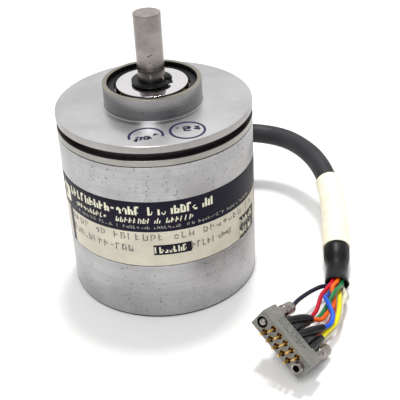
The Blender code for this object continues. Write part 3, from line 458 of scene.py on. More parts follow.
wireSet = {
    "radius": 0.72,
    "routes": {
        "black": [(56.2, -16.1, 4.5), (55.1, -24.1, 4.3), (50.8, -27.7, 5.6), (46.5, -31.8, 6.6),
                  (42.2, -36.7, 7.2), (39.5, -41.8, 7.4), (37.9, -46.1, 8.3), (35.4, -51.4, 10.7)],
        "red": [(56.9, -16.2, 6.0), (55.9, -24.3, 5.9), (53.6, -28.4, 5.9), (50.8, -32.7, 6.0),
                (48.1, -40.1, 5.9), (45.0, -44.7, 6.4), (40.7, -49.1, 7.7), (37.0, -53.1, 9.4)],
        "green": [(60.0, -16.6, 5.3), (58.9, -24.7, 5.2), (56.7, -31.1, 7.7), (54.6, -34.7, 8.6),
                  (51.6, -39.3, 7.0), (49.4, -42.7, 6.3), (46.8, -45.6, 6.7), (43.7, -48.7, 8.2),
                  (39.4, -54.2, 11.2)],
        "blue": [(56.9, -16.2, 2.9), (55.9, -24.2, 2.7), (53.2, -31.5, 5.0), (51.4, -36.7, 8.5),
                 (51.7, -40.9, 9.3), (52.4, -44.8, 8.6), (52.0, -47.5, 7.8), (50.6, -49.5, 7.5),
                 (47.5, -51.3, 7.9), (41.0, -55.9, 9.9)],
        "orange": [(58.6, -16.5, 6.4), (57.6, -24.5, 6.3), (54.7, -30.5, 7.3), (54.4, -35.6, 6.5),
                   (53.9, -38.9, 6.6), (51.8, -42.3, 7.2), (49.0, -46.3, 7.4), (46.2, -47.9, 8.9),
                   (43.2, -49.1, 10.5), (37.9, -52.5, 12.6)],
        "yellow": [(58.6, -16.4, 2.5), (57.6, -24.4, 2.3), (56.8, -32.4, 5.6), (56.0, -36.8, 7.4),
                   (55.1, -41.4, 7.3), (53.4, -46.3, 6.0), (50.2, -50.0, 5.6), (47.9, -53.2, 5.8),
                   (44.0, -59.3, 7.2)],
        "white": [(60.0, -16.6, 3.6), (58.9, -24.6, 3.4), (58.8, -31.5, 4.7), (56.6, -37.2, 5.1),
                  (54.7, -43.7, 4.3), (51.1, -48.9, 3.4), (46.0, -53.5, 3.6), (41.6, -58.3, 5.4)],
        "pink": [(58.2, -16.4, 4.5), (57.1, -24.4, 4.3), (55.3, -30.0, 5.4), (54.5, -36.6, 4.5),
                 (53.1, -41.2, 4.2), (50.8, -45.6, 4.3), (48.3, -49.4, 4.9), (45.9, -52.6, 6.1),
                 (42.5, -57.6, 8.6)],
    },
    "colours": {
        "black": (0.008, 0.008, 0.028), "red": (0.62, 0.006, 0.03), "green": (0.015, 0.22, 0.07),
        "blue": (0.008, 0.11, 0.72), "orange": (0.95, 0.13, 0.004), "yellow": (0.95, 0.84, 0.0),
        "white": (0.82, 0.78, 0.6), "pink": (0.75, 0.12, 0.09),
    },
    # contact number that each wire is soldered to, and how much of its end a sleeve covers
    "contacts": {"orange": 1, "green": 2, "blue": 3, "pink": 4, "yellow": 5,
                 "black": 6, "red": 7, "white": 10},
    "sleeved": {"orange": 9.5, "green": 9.0, "blue": 10.0, "pink": 6.5, "yellow": 7.5,
                "black": 4.5, "red": 6.0, "white": 6.0},
}


def curvePiece(name, line, radius, material, body, replaces, resolution=6):
    # A round cord as one open spline with a round bevel.
    curve = bpy.data.curves.new(name, "CURVE")
    curve.dimensions = "3D"
    curve.bevel_depth = radius * mm
    curve.bevel_resolution = resolution
    curve.use_fill_caps = True
    spline = curve.splines.new("POLY")
    spline.points.add(len(line) - 1)
    for slotPoint, point in zip(spline.points, line):
        slotPoint.co = (*(point * mm), 1.0)
    spline.use_smooth = True
    curve.materials.append(material)
    piece = bpy.data.objects.new(name, curve)
    bpy.context.collection.objects.link(piece)
    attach(piece, body)
    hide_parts(*replaces)
    return piece


jacketFinish = makeFinish("jacketVinyl", (0.034, 0.035, 0.039), (0.022, 0.023, 0.027), 0.5,
                          patch=0.012, speck=0.0005, specks=0.3, speckColour=(0.06, 0.06, 0.063),
                          bump=0.00003, Specular_IOR_Level=0.22)
leadRoom = leadSet["jacketEnd"]
cable = curvePiece("leadJacket", cutLine(leadLine, 0, leadRoom, 0.8), leadSet["radius"],
                   jacketFinish, "housing", ["signal_cable"])

wires = {}
wireLines = {}
for colourName, route in wireSet["routes"].items():
    line = smoothLine([Vector(p) for p in route], 14)
    r, g, b = wireSet["colours"][colourName]
    insulation = makeFinish(colourName + "Insulation", (r, g, b), (r * 0.72, g * 0.72, b * 0.72),
                            0.36, patch=0.006, speck=0.0003, specks=0.15,
                            speckColour=(r * 0.5, g * 0.5, b * 0.5), bump=0.000008,
                            Specular_IOR_Level=0.3)
    wireLines[colourName] = line
    wires[colourName] = curvePiece(colourName + "Wire", line, wireSet["radius"], insulation,
                                   "housing", ["wire_" + colourName])
print("lead and wires laid")


# gland, marker sleeve and boot

rubberFinish = makeFinish("glandRubber", (0.03, 0.03, 0.032), (0.018, 0.018, 0.02), 0.6,
                          patch=0.004, speck=0.0003)
creamFinish = makeFinish("sleeveCream", (0.95, 0.92, 0.76), (0.92, 0.86, 0.66), 0.5,
                         patch=0.006, speck=0.0007, specks=0.34, speckColour=(0.62, 0.48, 0.27),
                         bump=0.00004, Subsurface_Weight=0.08,
                         Subsurface_Radius=(0.004, 0.003, 0.0015), Subsurface_Scale=0.5)
shrinkFinish = makeFinish("heatShrink", (0.006, 0.006, 0.007), (0.003, 0.003, 0.004), 0.46,
                          patch=0.005, speck=0.0006, roughSpread=0.16, bump=0.00005,
                          Specular_IOR_Level=0.25)

glandSet = {"bearing": 80.0, "height": 24.6, "bore": 4.4, "neck": 5.3, "flange": 6.0,
            "inner": 26.9, "outer": 33.65, "seat": 32.05}
glandTurn = (onBearing(glandSet["bearing"]) @ Matrix.Translation((0, 0, glandSet["height"]))
             @ Matrix.Rotation(pi / 2, 4, "Y"))
glandCorners = [
    (glandSet["bore"], glandSet["inner"], 0.2), (glandSet["flange"], glandSet["inner"], 0.2),
    (glandSet["flange"], glandSet["inner"] + 1.4, 0.2),
    (glandSet["neck"], glandSet["inner"] + 1.4, 0.1), (glandSet["neck"], glandSet["seat"], 0.1),
    (glandSet["flange"], glandSet["seat"], 0.2), (glandSet["flange"], glandSet["outer"] - 0.2, 0.5),
    (glandSet["bore"], glandSet["outer"], 0.4)]
gland = addPiece("glandRubberBush", moved(turnedMesh(glandCorners, 72), glandTurn), rubberFinish,
                 "housing", ["cable_gland"])


def markerShape(s, angle):
    # The loose tube is a little out of round, and wider towards its lower end.
    along = (s - leadSet["sleeveStart"]) / leadSet["sleeveLength"]
    grow = (leadSet["sleeveEndRadius"] - leadSet["sleeveTopRadius"]) * along
    step = 0.15 if along > leadSet["seamAt"] else 0.0
    return grow + step + 0.05 * cos(2 * angle + 3 * along), 0.12 * sin(angle * 2 + 1)


sleeveStart = leadSet["sleeveStart"]
sleeveEnd = sleeveStart + leadSet["sleeveLength"]
top = leadSet["sleeveTopRadius"]
marks = [0.0, 0.006, 0.03, 0.1, 0.2, 0.3, 0.4, 0.5, 0.6, leadSet["seamAt"] - 0.004,
         leadSet["seamAt"] + 0.004, 0.76, 0.86, 0.95, 0.985, 1.0]
outer = [(sleeveStart + leadSet["sleeveLength"] * m, top - (0.12 if m in (0.0, 1.0) else 0.0))
         for m in marks]
inner = [(s, top - 0.5) for s, r in reversed(outer)]
sleeve = addPiece("markerTube", sleeveMesh(leadLine, outer + inner, 48, markerShape), creamFinish,
                  "housing", ["marker_sleeve"])

leadEnd = distancesOf(leadLine)[-1]
bootTop = sleeveEnd + 0.05


def bootShape(s, angle):
    # Wrinkled where it has shrunk, with an uneven mouth that lifts to one side.
    down = (s - bootTop) / (leadEnd - bootTop)
    wrinkle = 0.05 * sin(3 * angle + 9 * down) * down + 0.03 * sin(7 * angle - 4 * down)
    mouth = max(0.0, (down - 0.86) / 0.14)
    ragged = 0.12 * sin(3 * angle + 1.0) + 0.08 * sin(5 * angle)
    hood = 1.8 * max(0.0, sin(angle)) ** 0.6
    lip = 0.8 * max(0.0, cos(angle - radians(165))) ** 3
    return wrinkle + mouth * (0.1 * sin(4 * angle) + lip * 0.6), mouth * (ragged + hood + lip * 0.6)


bootOuter = [(0.0, 4.2), (0.02, 4.42), (0.1, 4.46), (0.2, 4.45), (0.29, 4.38), (0.36, 4.15),
             (0.42, 3.9), (0.48, 3.74), (0.56, 3.66), (0.66, 3.63), (0.76, 3.64), (0.86, 3.7),
             (0.93, 3.8), (0.99, 3.92), (1.0, 3.86)]
bootInner = [(1.0, 3.42), (0.9, 3.36), (0.7, 3.28), (0.5, 3.34), (0.42, 3.48), (0.36, 3.72),
             (0.3, 3.9), (0.15, 3.95), (0.0, 3.95)]
bootRings = [(bootTop + (leadEnd - bootTop) * along, r) for along, r in bootOuter + bootInner]
boot = addPiece("shrinkBoot", sleeveMesh(leadLine, bootRings, 56, bootShape), shrinkFinish,
                "housing", ["heat_shrink_boot"])
print("sleeve and boot made")


# connector

connectorSet = {
    "place": (34.47, -62.26, 12.04), "turn": (67.9, 30.27, -48.2),
    "length": 21.5, "height": 6.55, "depth": 7.0, "edge": 0.35,
    "pitch": 2.66, "count": 5, "rowHeight": 1.525, "upperCentre": 0.72, "lowerCentre": -0.46,
    "pinRadius": 0.4, "pinReach": 2.9, "wellRadius": 0.98, "wellDepth": 1.1,
    "cupRadius": 0.62, "cupEnd": 8.9, "jackX": 8.39,
    "backRecess": 0.7, "backRecessHalf": 6.3, "threadedHole": 1.78, "socketHole": 1.72,
    "skin": 0.02,
}
connectorTurn = (Matrix.Translation(connectorSet["place"])
                 @ Euler([radians(a) for a in connectorSet["turn"]]).to_matrix().to_4x4())


def contactPlaces():
    found = []
    for centre, y in ((connectorSet["upperCentre"], connectorSet["rowHeight"]),
                      (connectorSet["lowerCentre"], -connectorSet["rowHeight"])):
        for k in range(connectorSet["count"]):
            middle = (connectorSet["count"] - 1) / 2
            found.append((centre + connectorSet["pitch"] * (k - middle), y))
    return found


def makeConnectorFinish():
    # Glass-filled nylon with soft tone patches and small specks; the contact wells take a brown painted
    # shade of their own.
    material, tree, shader = newMaterial("glassFilledNylon", 0.5)
    place = objectPlace(tree)
    spots = useGroup(tree, mottleGroup, place, patchSize=0.005, speckSize=0.0005, speckAmount=0.26)
    base = mixColour(tree, spots["Patches"], (0.15, 0.15, 0.13), (0.21, 0.21, 0.185))
    base = mixColour(tree, spots["Specks"], base, (0.13, 0.13, 0.11))
    feed(tree, base, shader.inputs["Base Color"])
    fine = put(tree, "ShaderNodeTexNoise", {"Vector": place, "Scale": 2200.0, "Detail": 3.0})
    addBump(tree, shader, fine.outputs["Fac"], 0.00003)
    return material


nylonFinish = makeConnectorFinish()
# Brown painted shade for the contact wells round the pins.
wellShade = makeFinish("paintedShadeWell", (0.09, 0.022, 0.006), (0.035, 0.009, 0.004), 0.45,
                        patch=0.0015, speck=0.0003)
goldFinish = makeFinish("goldPlate", (0.95, 0.62, 0.2), (0.62, 0.34, 0.08), 0.26, 1.0,
                        patch=0.0012, speck=0.0003)
jackFinish = makeFinish("jackSteel", (0.36, 0.33, 0.31), (0.24, 0.215, 0.2), 0.3, 1.0,
                        patch=0.0025, speck=0.0003, specks=0.25, speckColour=(0.12, 0.11, 0.1),
                        roughSpread=0.16)
# Near-black painted shade for the inside of the jackscrew holes and of the shaft's pits.
holeAndPitShade = makeFinish("paintedShadeHolesPits", (0.01, 0.01, 0.011), (0.004, 0.004, 0.005), 0.35,
                      patch=0.002, speck=0.0003)


def makeConnectorBody(c):
    bm = boxMesh((-c["length"] / 2, -c["height"] / 2, -c["depth"]),
                 (c["length"] / 2, c["height"] / 2, 0), c["edge"])
    cutters = [moved(turnedMesh([(0, -c["wellDepth"], 0), (c["wellRadius"], -c["wellDepth"], 0),
                                 (c["wellRadius"], 1, 0), (0, 1, 0)], 28),
                      Matrix.Translation((x, y, 0)))
               for x, y in contactPlaces()]
    for side, radius in ((-1, c["threadedHole"]), (1, c["socketHole"])):
        hole = turnedMesh([(0, -c["depth"] - 1, 0), (radius, -c["depth"] - 1, 0), (radius, 1, 0),
                           (0, 1, 0)], 40)
        cutters.append(moved(hole, Matrix.Translation((side * c["jackX"], 0, 0))))
    half = c["backRecessHalf"]
    cutters.append(boxMesh((-half, -c["height"], -c["depth"] - 1),
                           (half, c["height"], -c["depth"] + c["backRecess"]), 0.15, 2))
    bm = carve(bm, cutters)
    bmesh.ops.recalc_face_normals(bm, faces=bm.faces)
    spots = contactPlaces()
    for face in bm.faces:
        centre = face.calc_center_median()
        # Faces inside each contact well take the brown painted shade.
        if -c["wellDepth"] - c["skin"] < centre.z < -c["skin"]:
            for x, y in spots:
                if hypot(centre.x - x, centre.y - y) < c["wellRadius"] + c["skin"]:
                    face.material_index = 1
        # Faces inside both jackscrew holes take the painted shade.
        for side in (-1, 1):
            fromJack = hypot(centre.x - side * c["jackX"], centre.y)
            inside = -c["depth"] < centre.z < -c["skin"]
            if fromJack < c["threadedHole"] + c["skin"] and inside:
                face.material_index = 2
    return addPiece("connectorShell", moved(bm, connectorTurn), [nylonFinish, wellShade, holeAndPitShade],
                    "housing", ["connector_body"], sharp=30)


connectorShell = makeConnectorBody(connectorSet)


def makePinTree(pin, material):
    # Rows of identical contacts, as instances of one turned pin along two lines.
    tree = bpy.data.node_groups.new("pinRows", "GeometryNodeTree")
    for title, kind, value in (("Pitch", "NodeSocketFloat", 2.66), ("Count", "NodeSocketInt", 5),
                               ("Row Height", "NodeSocketFloat", 1.5),
                               ("Upper Centre", "NodeSocketFloat", 0.0),
                               ("Lower Centre", "NodeSocketFloat", 0.0)):
        tree.interface.new_socket(title, in_out="INPUT", socket_type=kind).default_value = value
    tree.interface.new_socket("Geometry", in_out="OUTPUT", socket_type="NodeSocketGeometry")
    start = tree.nodes.new("NodeGroupInput").outputs
    source = put(tree, "GeometryNodeObjectInfo", {"Object": pin})
    rows = tree.nodes.new("GeometryNodeJoinGeometry")
    steps = calc(tree, "SUBTRACT", start["Count"], 1.0)
    halfRow = calc(tree, "MULTIPLY", calc(tree, "MULTIPLY", steps, start["Pitch"]), 0.5)
    gap = put(tree, "ShaderNodeCombineXYZ", {"X": start["Pitch"]})
    for centre, side in (("Upper Centre", 1.0), ("Lower Centre", -1.0)):
        first = put(tree, "ShaderNodeCombineXYZ",
                    {"X": calc(tree, "SUBTRACT", start[centre], halfRow),
                     "Y": calc(tree, "MULTIPLY", start["Row Height"], side)})
        line = put(tree, "GeometryNodeMeshLine",
                   {"Count": start["Count"], "Start Location": first.outputs[0],
                    "Offset": gap.outputs[0]})
        row = put(tree, "GeometryNodeInstanceOnPoints",
                  {"Points": line.outputs[0], "Instance": source.outputs["Geometry"]})
        tree.links.new(row.outputs[0], rows.inputs[0])
    real = put(tree, "GeometryNodeRealizeInstances", {"Geometry": rows.outputs[0]})
    dressed = put(tree, "GeometryNodeSetMaterial", {"Geometry": real.outputs[0], "Material": material})
    end = tree.nodes.new("NodeGroupOutput")
    tree.links.new(dressed.outputs[0], end.inputs[0])
    return tree


def grownMesh(tree, values):
    # Run a node tree on an empty mesh and hand back what it makes.
    holder = bpy.data.objects.new("holder", bpy.data.meshes.new("holder"))
    bpy.context.collection.objects.link(holder)
    modifier = holder.modifiers.new("grow", "NODES")
    modifier.node_group = tree
    for item in tree.interface.items_tree:
        if item.item_type == "SOCKET" and item.in_out == "INPUT" and item.name in values:
            modifier[item.identifier] = values[item.name]
    graph = bpy.context.evaluated_depsgraph_get()
    mesh = bpy.data.meshes.new_from_object(holder.evaluated_get(graph))
    bpy.data.objects.remove(holder)
    bm = bmesh.new()
    bm.from_mesh(mesh)
    bpy.data.meshes.remove(mesh)
    return bm


def makeContacts(c):
    reach, r = c["pinReach"], c["pinRadius"]
    pinCorners = [(0, reach, 0), (r * 0.55, reach, 0.12), (r, reach - 0.45, 0.15),
                  (r, -c["wellDepth"] + 0.3, 0.05), (c["cupRadius"] + 0.1, -c["wellDepth"] + 0.3, 0.08),
                  (c["cupRadius"] + 0.1, -c["wellDepth"] + 0.02, 0), (r, -c["wellDepth"] + 0.02, 0),
                  (r, -c["depth"] + 0.8, 0.05), (c["cupRadius"], -c["depth"] + 0.8, 0.05),
                  (c["cupRadius"], -c["cupEnd"], 0.08), (0, -c["cupEnd"], 0)]
    source = turnedMesh(pinCorners, 28)
    mesh = bpy.data.meshes.new("onePin")
    source.to_mesh(mesh)
    source.free()
    pin = bpy.data.objects.new("onePin", mesh)
    bpy.context.collection.objects.link(pin)
    tree = makePinTree(pin, goldFinish)
    bm = grownMesh(tree, {"Pitch": c["pitch"], "Count": c["count"], "Row Height": c["rowHeight"],
                          "Upper Centre": c["upperCentre"], "Lower Centre": c["lowerCentre"]})
    bpy.data.objects.remove(pin)
    return addPiece("goldContacts", moved(bm, connectorTurn), goldFinish, "housing",
                    [f"contact_{k + 1}" for k in range(2 * c["count"])])


contacts = makeContacts(connectorSet)

jackSet = {"neck": 1.75, "head": 2.05, "neckStart": -7.25, "headStart": -12.2, "headEnd": -17.7,
           "threadRadius": 1.15, "threadPitch": 0.45, "threadDepth": 0.22, "threadEnd": -3.4,
           "tip": 0.25, "tipTaper": 0.35, "socketFloor": -3.0,
           "socketRadius": 1.68, "socketBore": 1.02, "socketReach": 2.1, "slotDepth": 0.9,
           "slotWidth": 0.7}


def makeJackscrew(name, side, body, node, j):
    # A turned screw: threaded tip or hollow socket, plain shank, round head.
    corners = []
    if side < 0:
        corners = [(0, j["tip"], 0), (j["threadRadius"] - j["tipTaper"], j["tip"], 0.08)]
        z = j["tip"] - j["tipTaper"]
        while z > j["threadEnd"]:
            corners += [(j["threadRadius"], z, 0.04),
                        (j["threadRadius"] - j["threadDepth"], z - j["threadPitch"] / 2, 0.04)]
            z -= j["threadPitch"]
        corners += [(j["threadRadius"], z, 0.05), (j["threadRadius"], j["neckStart"], 0.05)]
    else:
        corners = [(0, j["socketFloor"], 0), (j["socketBore"], j["socketFloor"], 0.1),
                   (j["socketBore"], j["socketReach"] - 0.15, 0.05),
                   (j["socketBore"] + 0.15, j["socketReach"], 0.05),
                   (j["socketRadius"], j["socketReach"], 0.15),
                   (j["socketRadius"], j["neckStart"], 0.05)]
    corners += [(j["neck"], j["neckStart"], 0.1), (j["neck"], j["headStart"] + 0.35, 0.1),
                (j["head"], j["headStart"] + 0.1, 0.12), (j["head"], j["headEnd"] + 0.05, 0.8),
                (0, j["headEnd"], 0)]
    bm = turnedMesh(corners, 48)
    slotCut = boxMesh((-3, -j["slotWidth"] / 2, j["headEnd"] - 1),
                      (3, j["slotWidth"] / 2, j["headEnd"] + j["slotDepth"]))
    bm = carve(bm, [slotCut])
    place = connectorTurn @ Matrix.Translation((side * connectorSet["jackX"], 0, 0))
    return addPiece(name, moved(bm, place), jackFinish, body, [node], sharp=32)


jackLeft = makeJackscrew("threadedJackscrew", -1, "jackscrew_left", "jackscrew_1", jackSet)
jackRight = makeJackscrew("socketJackscrew", 1, "jackscrew_right", "jackscrew_2", jackSet)

solderSet = {"radius": 1.38, "wireEndRadius": 1.12, "bore": 0.75, "start": 7.05}
solderFinish = makeFinish("solderSleeve", (0.006, 0.006, 0.008), (0.003, 0.003, 0.004), 0.3,
                          patch=0.003, speck=0.0004, roughSpread=0.14, bump=0.00004,
                          Specular_IOR_Level=0.25)


def makeSolderSleeve(name, colourName, s):
    # Shrunk tube over a solder cup and the last stretch of its wire.
    x, y = contactPlaces()[wireSet["contacts"][colourName] - 1]
    cup = connectorTurn @ Vector((x, y, -s["start"]))
    reversedWire = list(reversed(wireLines[colourName]))
    full = [cup] + reversedWire
    long = (reversedWire[0] - cup).length + wireSet["sleeved"][colourName]
    path = cutLine(full, 0.0, long, 0.7)
    count = len(path)
    smooth = [path[0]] + [(path[k - 1] + 2 * path[k] + path[k + 1]) / 4 for k in range(1, count - 1)]
    smooth.append(path[-1])
    rings = []
    for m in (0.0, 0.03, 0.15, 0.3, 0.45, 0.6, 0.72, 0.84, 0.93, 0.98, 1.0):
        taper = max(0.0, (m - 0.55) / 0.45)
        radius = s["radius"] - (s["radius"] - s["wireEndRadius"]) * taper ** 1.5
        rings.append((m * long, radius - (0.1 if m in (0.0, 1.0) else 0.0)))
    bore = [(at, s["bore"] + 0.1) for at, r in reversed(rings)]

    def shape(at, angle):
        return 0.035 * sin(3 * angle + at), 0.0

    return addPiece(name, sleeveMesh(smooth, rings + bore, 28, shape), solderFinish, "housing")


solderSleeves = {c: makeSolderSleeve(c + "SolderSleeve", c, solderSet) for c in wireSet["routes"]}

for colourName, wire in wires.items():
    line = wireLines[colourName]
    round(distancesOf(line)[-1] * mm, 4)
print("connector made")


# aluminium and steel finishes

def makeTurnedMetal(name, light, dark, roughness, ring, ringTone=0.12, specks=0.08,
                    speckColour=(0.06, 0.055, 0.055), patch=0.012, speck=0.0007, metallic=1.0,
                    bump=0.000004, roughSpread=0.08, stains=(), stainColour=(0.05, 0.05, 0.06),
                    **shaderValues):
    # Metal with lathe rings, soft handling marks, small pits and, where asked, streaked stains.
    material, tree, shader = newMaterial(name, roughness, metallic, **shaderValues)
    place = objectPlace(tree)
    spots = useGroup(tree, mottleGroup, place, patchSize=patch, speckSize=speck,
                     speckAmount=specks)
    lathe = useGroup(tree, turnedGroup, place, ringWidth=ring)
    colour = mixColour(tree, spots["Patches"], dark, light)
    shade = tuple(c * (1 - ringTone * 2) for c in dark)
    colour = mixColour(tree, remap(tree, lathe["Rings"], 0.42, 0.72, 0.0, 0.6), colour, shade)
    colour = mixColour(tree, calc(tree, "MULTIPLY", spots["Specks"], 0.7), colour, speckColour)
    for bearing, width, low, high, amount in stains:
        stain = useGroup(tree, stainGroup, place, bearing=radians(bearing), width=radians(width),
                         low=low * mm, high=high * mm)
        colour = mixColour(tree, calc(tree, "MULTIPLY", stain["Mask"], amount), colour, stainColour)
    feed(tree, colour, shader.inputs["Base Color"])
    feed(tree, remap(tree, lathe["Rings"], 0.3, 0.7, roughness + roughSpread / 2,
                     roughness - roughSpread / 2), shader.inputs["Roughness"])
    addBump(tree, shader, lathe["Rings"], bump)
    return material


faceFinish = makeTurnedMetal("turnedFace", (0.62, 0.62, 0.63), (0.52, 0.52, 0.53), 0.33, 0.00025,
                             ringTone=0.05, specks=0.04, speckColour=(0.5, 0.49, 0.49))
bandFinish = makeTurnedMetal("turnedBand", (0.4, 0.38, 0.37), (0.31, 0.295, 0.285), 0.34, 0.0004,
                             ringTone=0.08, specks=0.1)
lowBandFinish = makeTurnedMetal("yellowedBand", (0.37, 0.365, 0.335), (0.29, 0.285, 0.26), 0.34,
                                0.0004, ringTone=0.06, specks=0.08)
bossFinish = makeTurnedMetal("turnedBoss", (0.31, 0.305, 0.31), (0.24, 0.235, 0.24), 0.26, 0.0005,
                             ringTone=0.06, specks=0.06)
rimFinish = makeTurnedMetal("warmRim", (0.36, 0.34, 0.28), (0.26, 0.245, 0.2), 0.34, 0.0003,
                            ringTone=0.05)
# Near-black painted shade for the servo groove and the cover's bottom edge, with small brown specks.
grooveFootShade = makeTurnedMetal("paintedShadeGrooveFoot", (0.075, 0.062, 0.066), (0.035, 0.03, 0.034), 0.42,
                               0.0006, specks=0.14, speckColour=(0.16, 0.13, 0.06), metallic=0.7)
# Near-black painted shade for the top of the bearing pocket, with small brown specks.
pocketShade = makeTurnedMetal("paintedShadePocket", (0.01, 0.009, 0.009), (0.005, 0.005, 0.006), 0.5,
                               0.0005, specks=0.1, speckColour=(0.12, 0.09, 0.05), metallic=0.3,
                               Specular_IOR_Level=0.2)
coverFinish = makeTurnedMetal(
    "bodyAluminium", (0.47, 0.465, 0.468), (0.365, 0.36, 0.364), 0.4, 0.0012, ringTone=0.05,
    specks=0.34, speckColour=(0.13, 0.13, 0.15), patch=0.014, speck=0.0009, metallic=0.85,
    stains=[(-95.0, 2.6, 43.0, 55.5, 1.0), (-84.0, 3.0, 47.0, 54.5, 0.7),
            (-100.0, 2.0, 49.5, 55.5, 0.4), (-33.0, 3.0, 8.0, 17.0, 0.75),
            (-48.0, 2.5, 48.0, 55.0, 0.4), (-143.0, 2.5, 49.0, 55.0, 0.3),
            (60.0, 4.0, 6.0, 17.0, 0.5), (150.0, 3.0, 46.0, 56.0, 0.5)])
innerFinish = makeTurnedMetal("insideAluminium", (0.5, 0.49, 0.48), (0.42, 0.41, 0.4), 0.4, 0.0005)


def colourByPlace(bm, choose):
    # Give each face the material that choose(radius, height, facing) picks.
    for face in bm.faces:
        centre = face.calc_center_median()
        face.material_index = choose(hypot(centre.x, centre.y), centre.z, face.normal)
    return bm


# front flange, with its bearing pocket and boss

flangeSet = {
    "pocket": 14.4475, "boss": 15.875, "body": 31.75, "spigot": 28.95, "tube": 17.0, "lip": 11.0,
    "bossTop": 70.9, "face": 63.5, "grooveTop": 61.1, "grooveBottom": 58.65, "grooveRadius": 29.55,
    "split": 56.65, "spigotEnd": 50.65, "sealTop": 54.85, "sealBottom": 52.65, "sealRadius": 27.55,
    "lipBottom": 34.5, "floor": 36.0, "snapBottom": 68.04, "snapTop": 69.64, "snapRadius": 14.9475,
    "postCircle": 24.5, "postHole": 1.8, "postBearings": (30.0, 150.0, 270.0), "postDepth": 4.0,
}


def makeFlange(f):
    corners = [
        (f["pocket"], f["bossTop"], 0.12), (f["boss"], f["bossTop"], 0.2),
        (f["boss"], f["face"] + 0.25, 0.1), (f["boss"] + 0.25, f["face"], 0.12),
        (f["body"], f["face"], 0.35), (f["body"], f["grooveTop"], 0.12),
        (f["grooveRadius"], f["grooveTop"], 0.1), (f["grooveRadius"], f["grooveBottom"], 0.1),
        (f["body"], f["grooveBottom"], 0.16), (f["body"], f["split"], 0.1),
        (f["spigot"], f["split"], 0.05), (f["spigot"], f["sealTop"], 0.1),
        (f["sealRadius"], f["sealTop"], 0.1), (f["sealRadius"], f["sealBottom"], 0.1),
        (f["spigot"], f["sealBottom"], 0.1), (f["spigot"], f["spigotEnd"], 0.25),
        (f["tube"], f["spigotEnd"], 0.3), (f["tube"], f["lipBottom"], 0.3),
        (f["lip"], f["lipBottom"], 0.15), (f["lip"], f["floor"], 0.15),
        (f["pocket"], f["floor"], 0.1), (f["pocket"], f["snapBottom"], 0.05),
        (f["snapRadius"], f["snapBottom"], 0.05), (f["snapRadius"], f["snapTop"], 0.05),
        (f["pocket"], f["snapTop"], 0.05)]
    bm = turnedMesh(corners, 288)
    low = f["spigotEnd"] - 1
    holes = [moved(turnedMesh([(0, low, 0), (f["postHole"], low, 0),
                               (f["postHole"], f["spigotEnd"] + f["postDepth"], 0),
                               (0, f["spigotEnd"] + f["postDepth"], 0)], 32),
                   onBearing(a) @ Matrix.Translation((f["postCircle"], 0, 0)))
             for a in f["postBearings"]]
    bm = carve(bm, holes)

    def choose(r, z, facing):
        if z > f["bossTop"] - 0.16:
            return 4
        # The top 4 mm of the bearing pocket and its ring groove take the painted shade; lower down they
        # take the plain inside finish.
        if r < f["snapRadius"] + 0.1 and z > f["floor"]:
            return 6 if z > f["snapBottom"] - 4 else 7
        if z > f["face"] + 0.1 and r < f["boss"] + 0.2:
            return 3
        if z > f["face"] - 0.12 and facing.z > 0.5:
            return 0
        # The servo groove's inner faces take the painted shade.
        if f["grooveBottom"] - 0.02 < z < f["grooveTop"] + 0.02 and r < f["body"] - 0.14:
            return 5
        if z > f["grooveTop"] - 0.2:
            return 1
        if z > f["split"] - 0.01 and r > f["spigot"]:
            return 2
        return 7

    return addPiece("frontFlange", colourByPlace(bm, choose),
                    [faceFinish, bandFinish, lowBandFinish, bossFinish, rimFinish, grooveFootShade,
                     pocketShade, innerFinish], "housing", ["front_flange"],
                    sharp=25)


makeFlange(flangeSet)
print("flange turned")


# cover

coverSet = {
    "radius": 31.75, "edge": 0.8, "top": 56.35, "wall": 29.25, "floor": 4.0,
    "seatLow": 20.4, "seatHigh": 44.4, "seatRadius": 31.4,
    "counterbore": 3.4, "counterboreDepth": 2.4, "glandHole": 5.6,
}


def makeCover(c, f, g):
    corners = [
        (0, 0, 0), (c["radius"] - 0.1, 0, 0.35), (c["radius"], 0.9, 0.3),
        (c["radius"], c["seatLow"], 0.05), (c["seatRadius"], c["seatLow"], 0.02),
        (c["seatRadius"], c["seatHigh"], 0.02), (c["radius"], c["seatHigh"], 0.05),
        (c["radius"], c["top"], 0.15), (c["wall"], c["top"], 0.15), (c["wall"], c["floor"], 0.6),
        (0, c["floor"], 0)]
    bm = turnedMesh(corners, 288)
    holes = []
    for a in f["postBearings"]:
        spot = onBearing(a) @ Matrix.Translation((f["postCircle"], 0, 0))
        hole = turnedMesh([(0, -1, 0), (c["counterbore"], -1, 0),
                           (c["counterbore"], c["counterboreDepth"], 0),
                           (f["postHole"], c["counterboreDepth"], 0),
                           (f["postHole"], c["floor"] + 1, 0), (0, c["floor"] + 1, 0)], 48)
        holes.append(moved(hole, spot))
    bore = turnedMesh([(0, c["wall"] - 2, 0), (c["glandHole"], c["wall"] - 2, 0),
                       (c["glandHole"], c["radius"] + 2, 0), (0, c["radius"] + 2, 0)], 72)
    turn = (onBearing(g["bearing"]) @ Matrix.Translation((0, 0, g["height"]))
            @ Matrix.Rotation(pi / 2, 4, "Y"))
    holes.append(moved(bore, turn))
    bm = carve(bm, holes)

    def choose(r, z, facing):
        # The cover's bottom edge, where it meets the floor, takes the painted shade.
        if z < 0.62 and r > c["radius"] - 0.5:
            return 2
        return 1 if r < c["wall"] + 0.1 and z > 1 or facing.z < -0.9 and z < 1 else 0

    return addPiece("coverCan", colourByPlace(bm, choose), [coverFinish, innerFinish, grooveFootShade],
                    "housing", ["cover"], sharp=25)


makeCover(coverSet, flangeSet, glandSet)
print("cover turned and bored")


# shaft, shield disc and snap rings

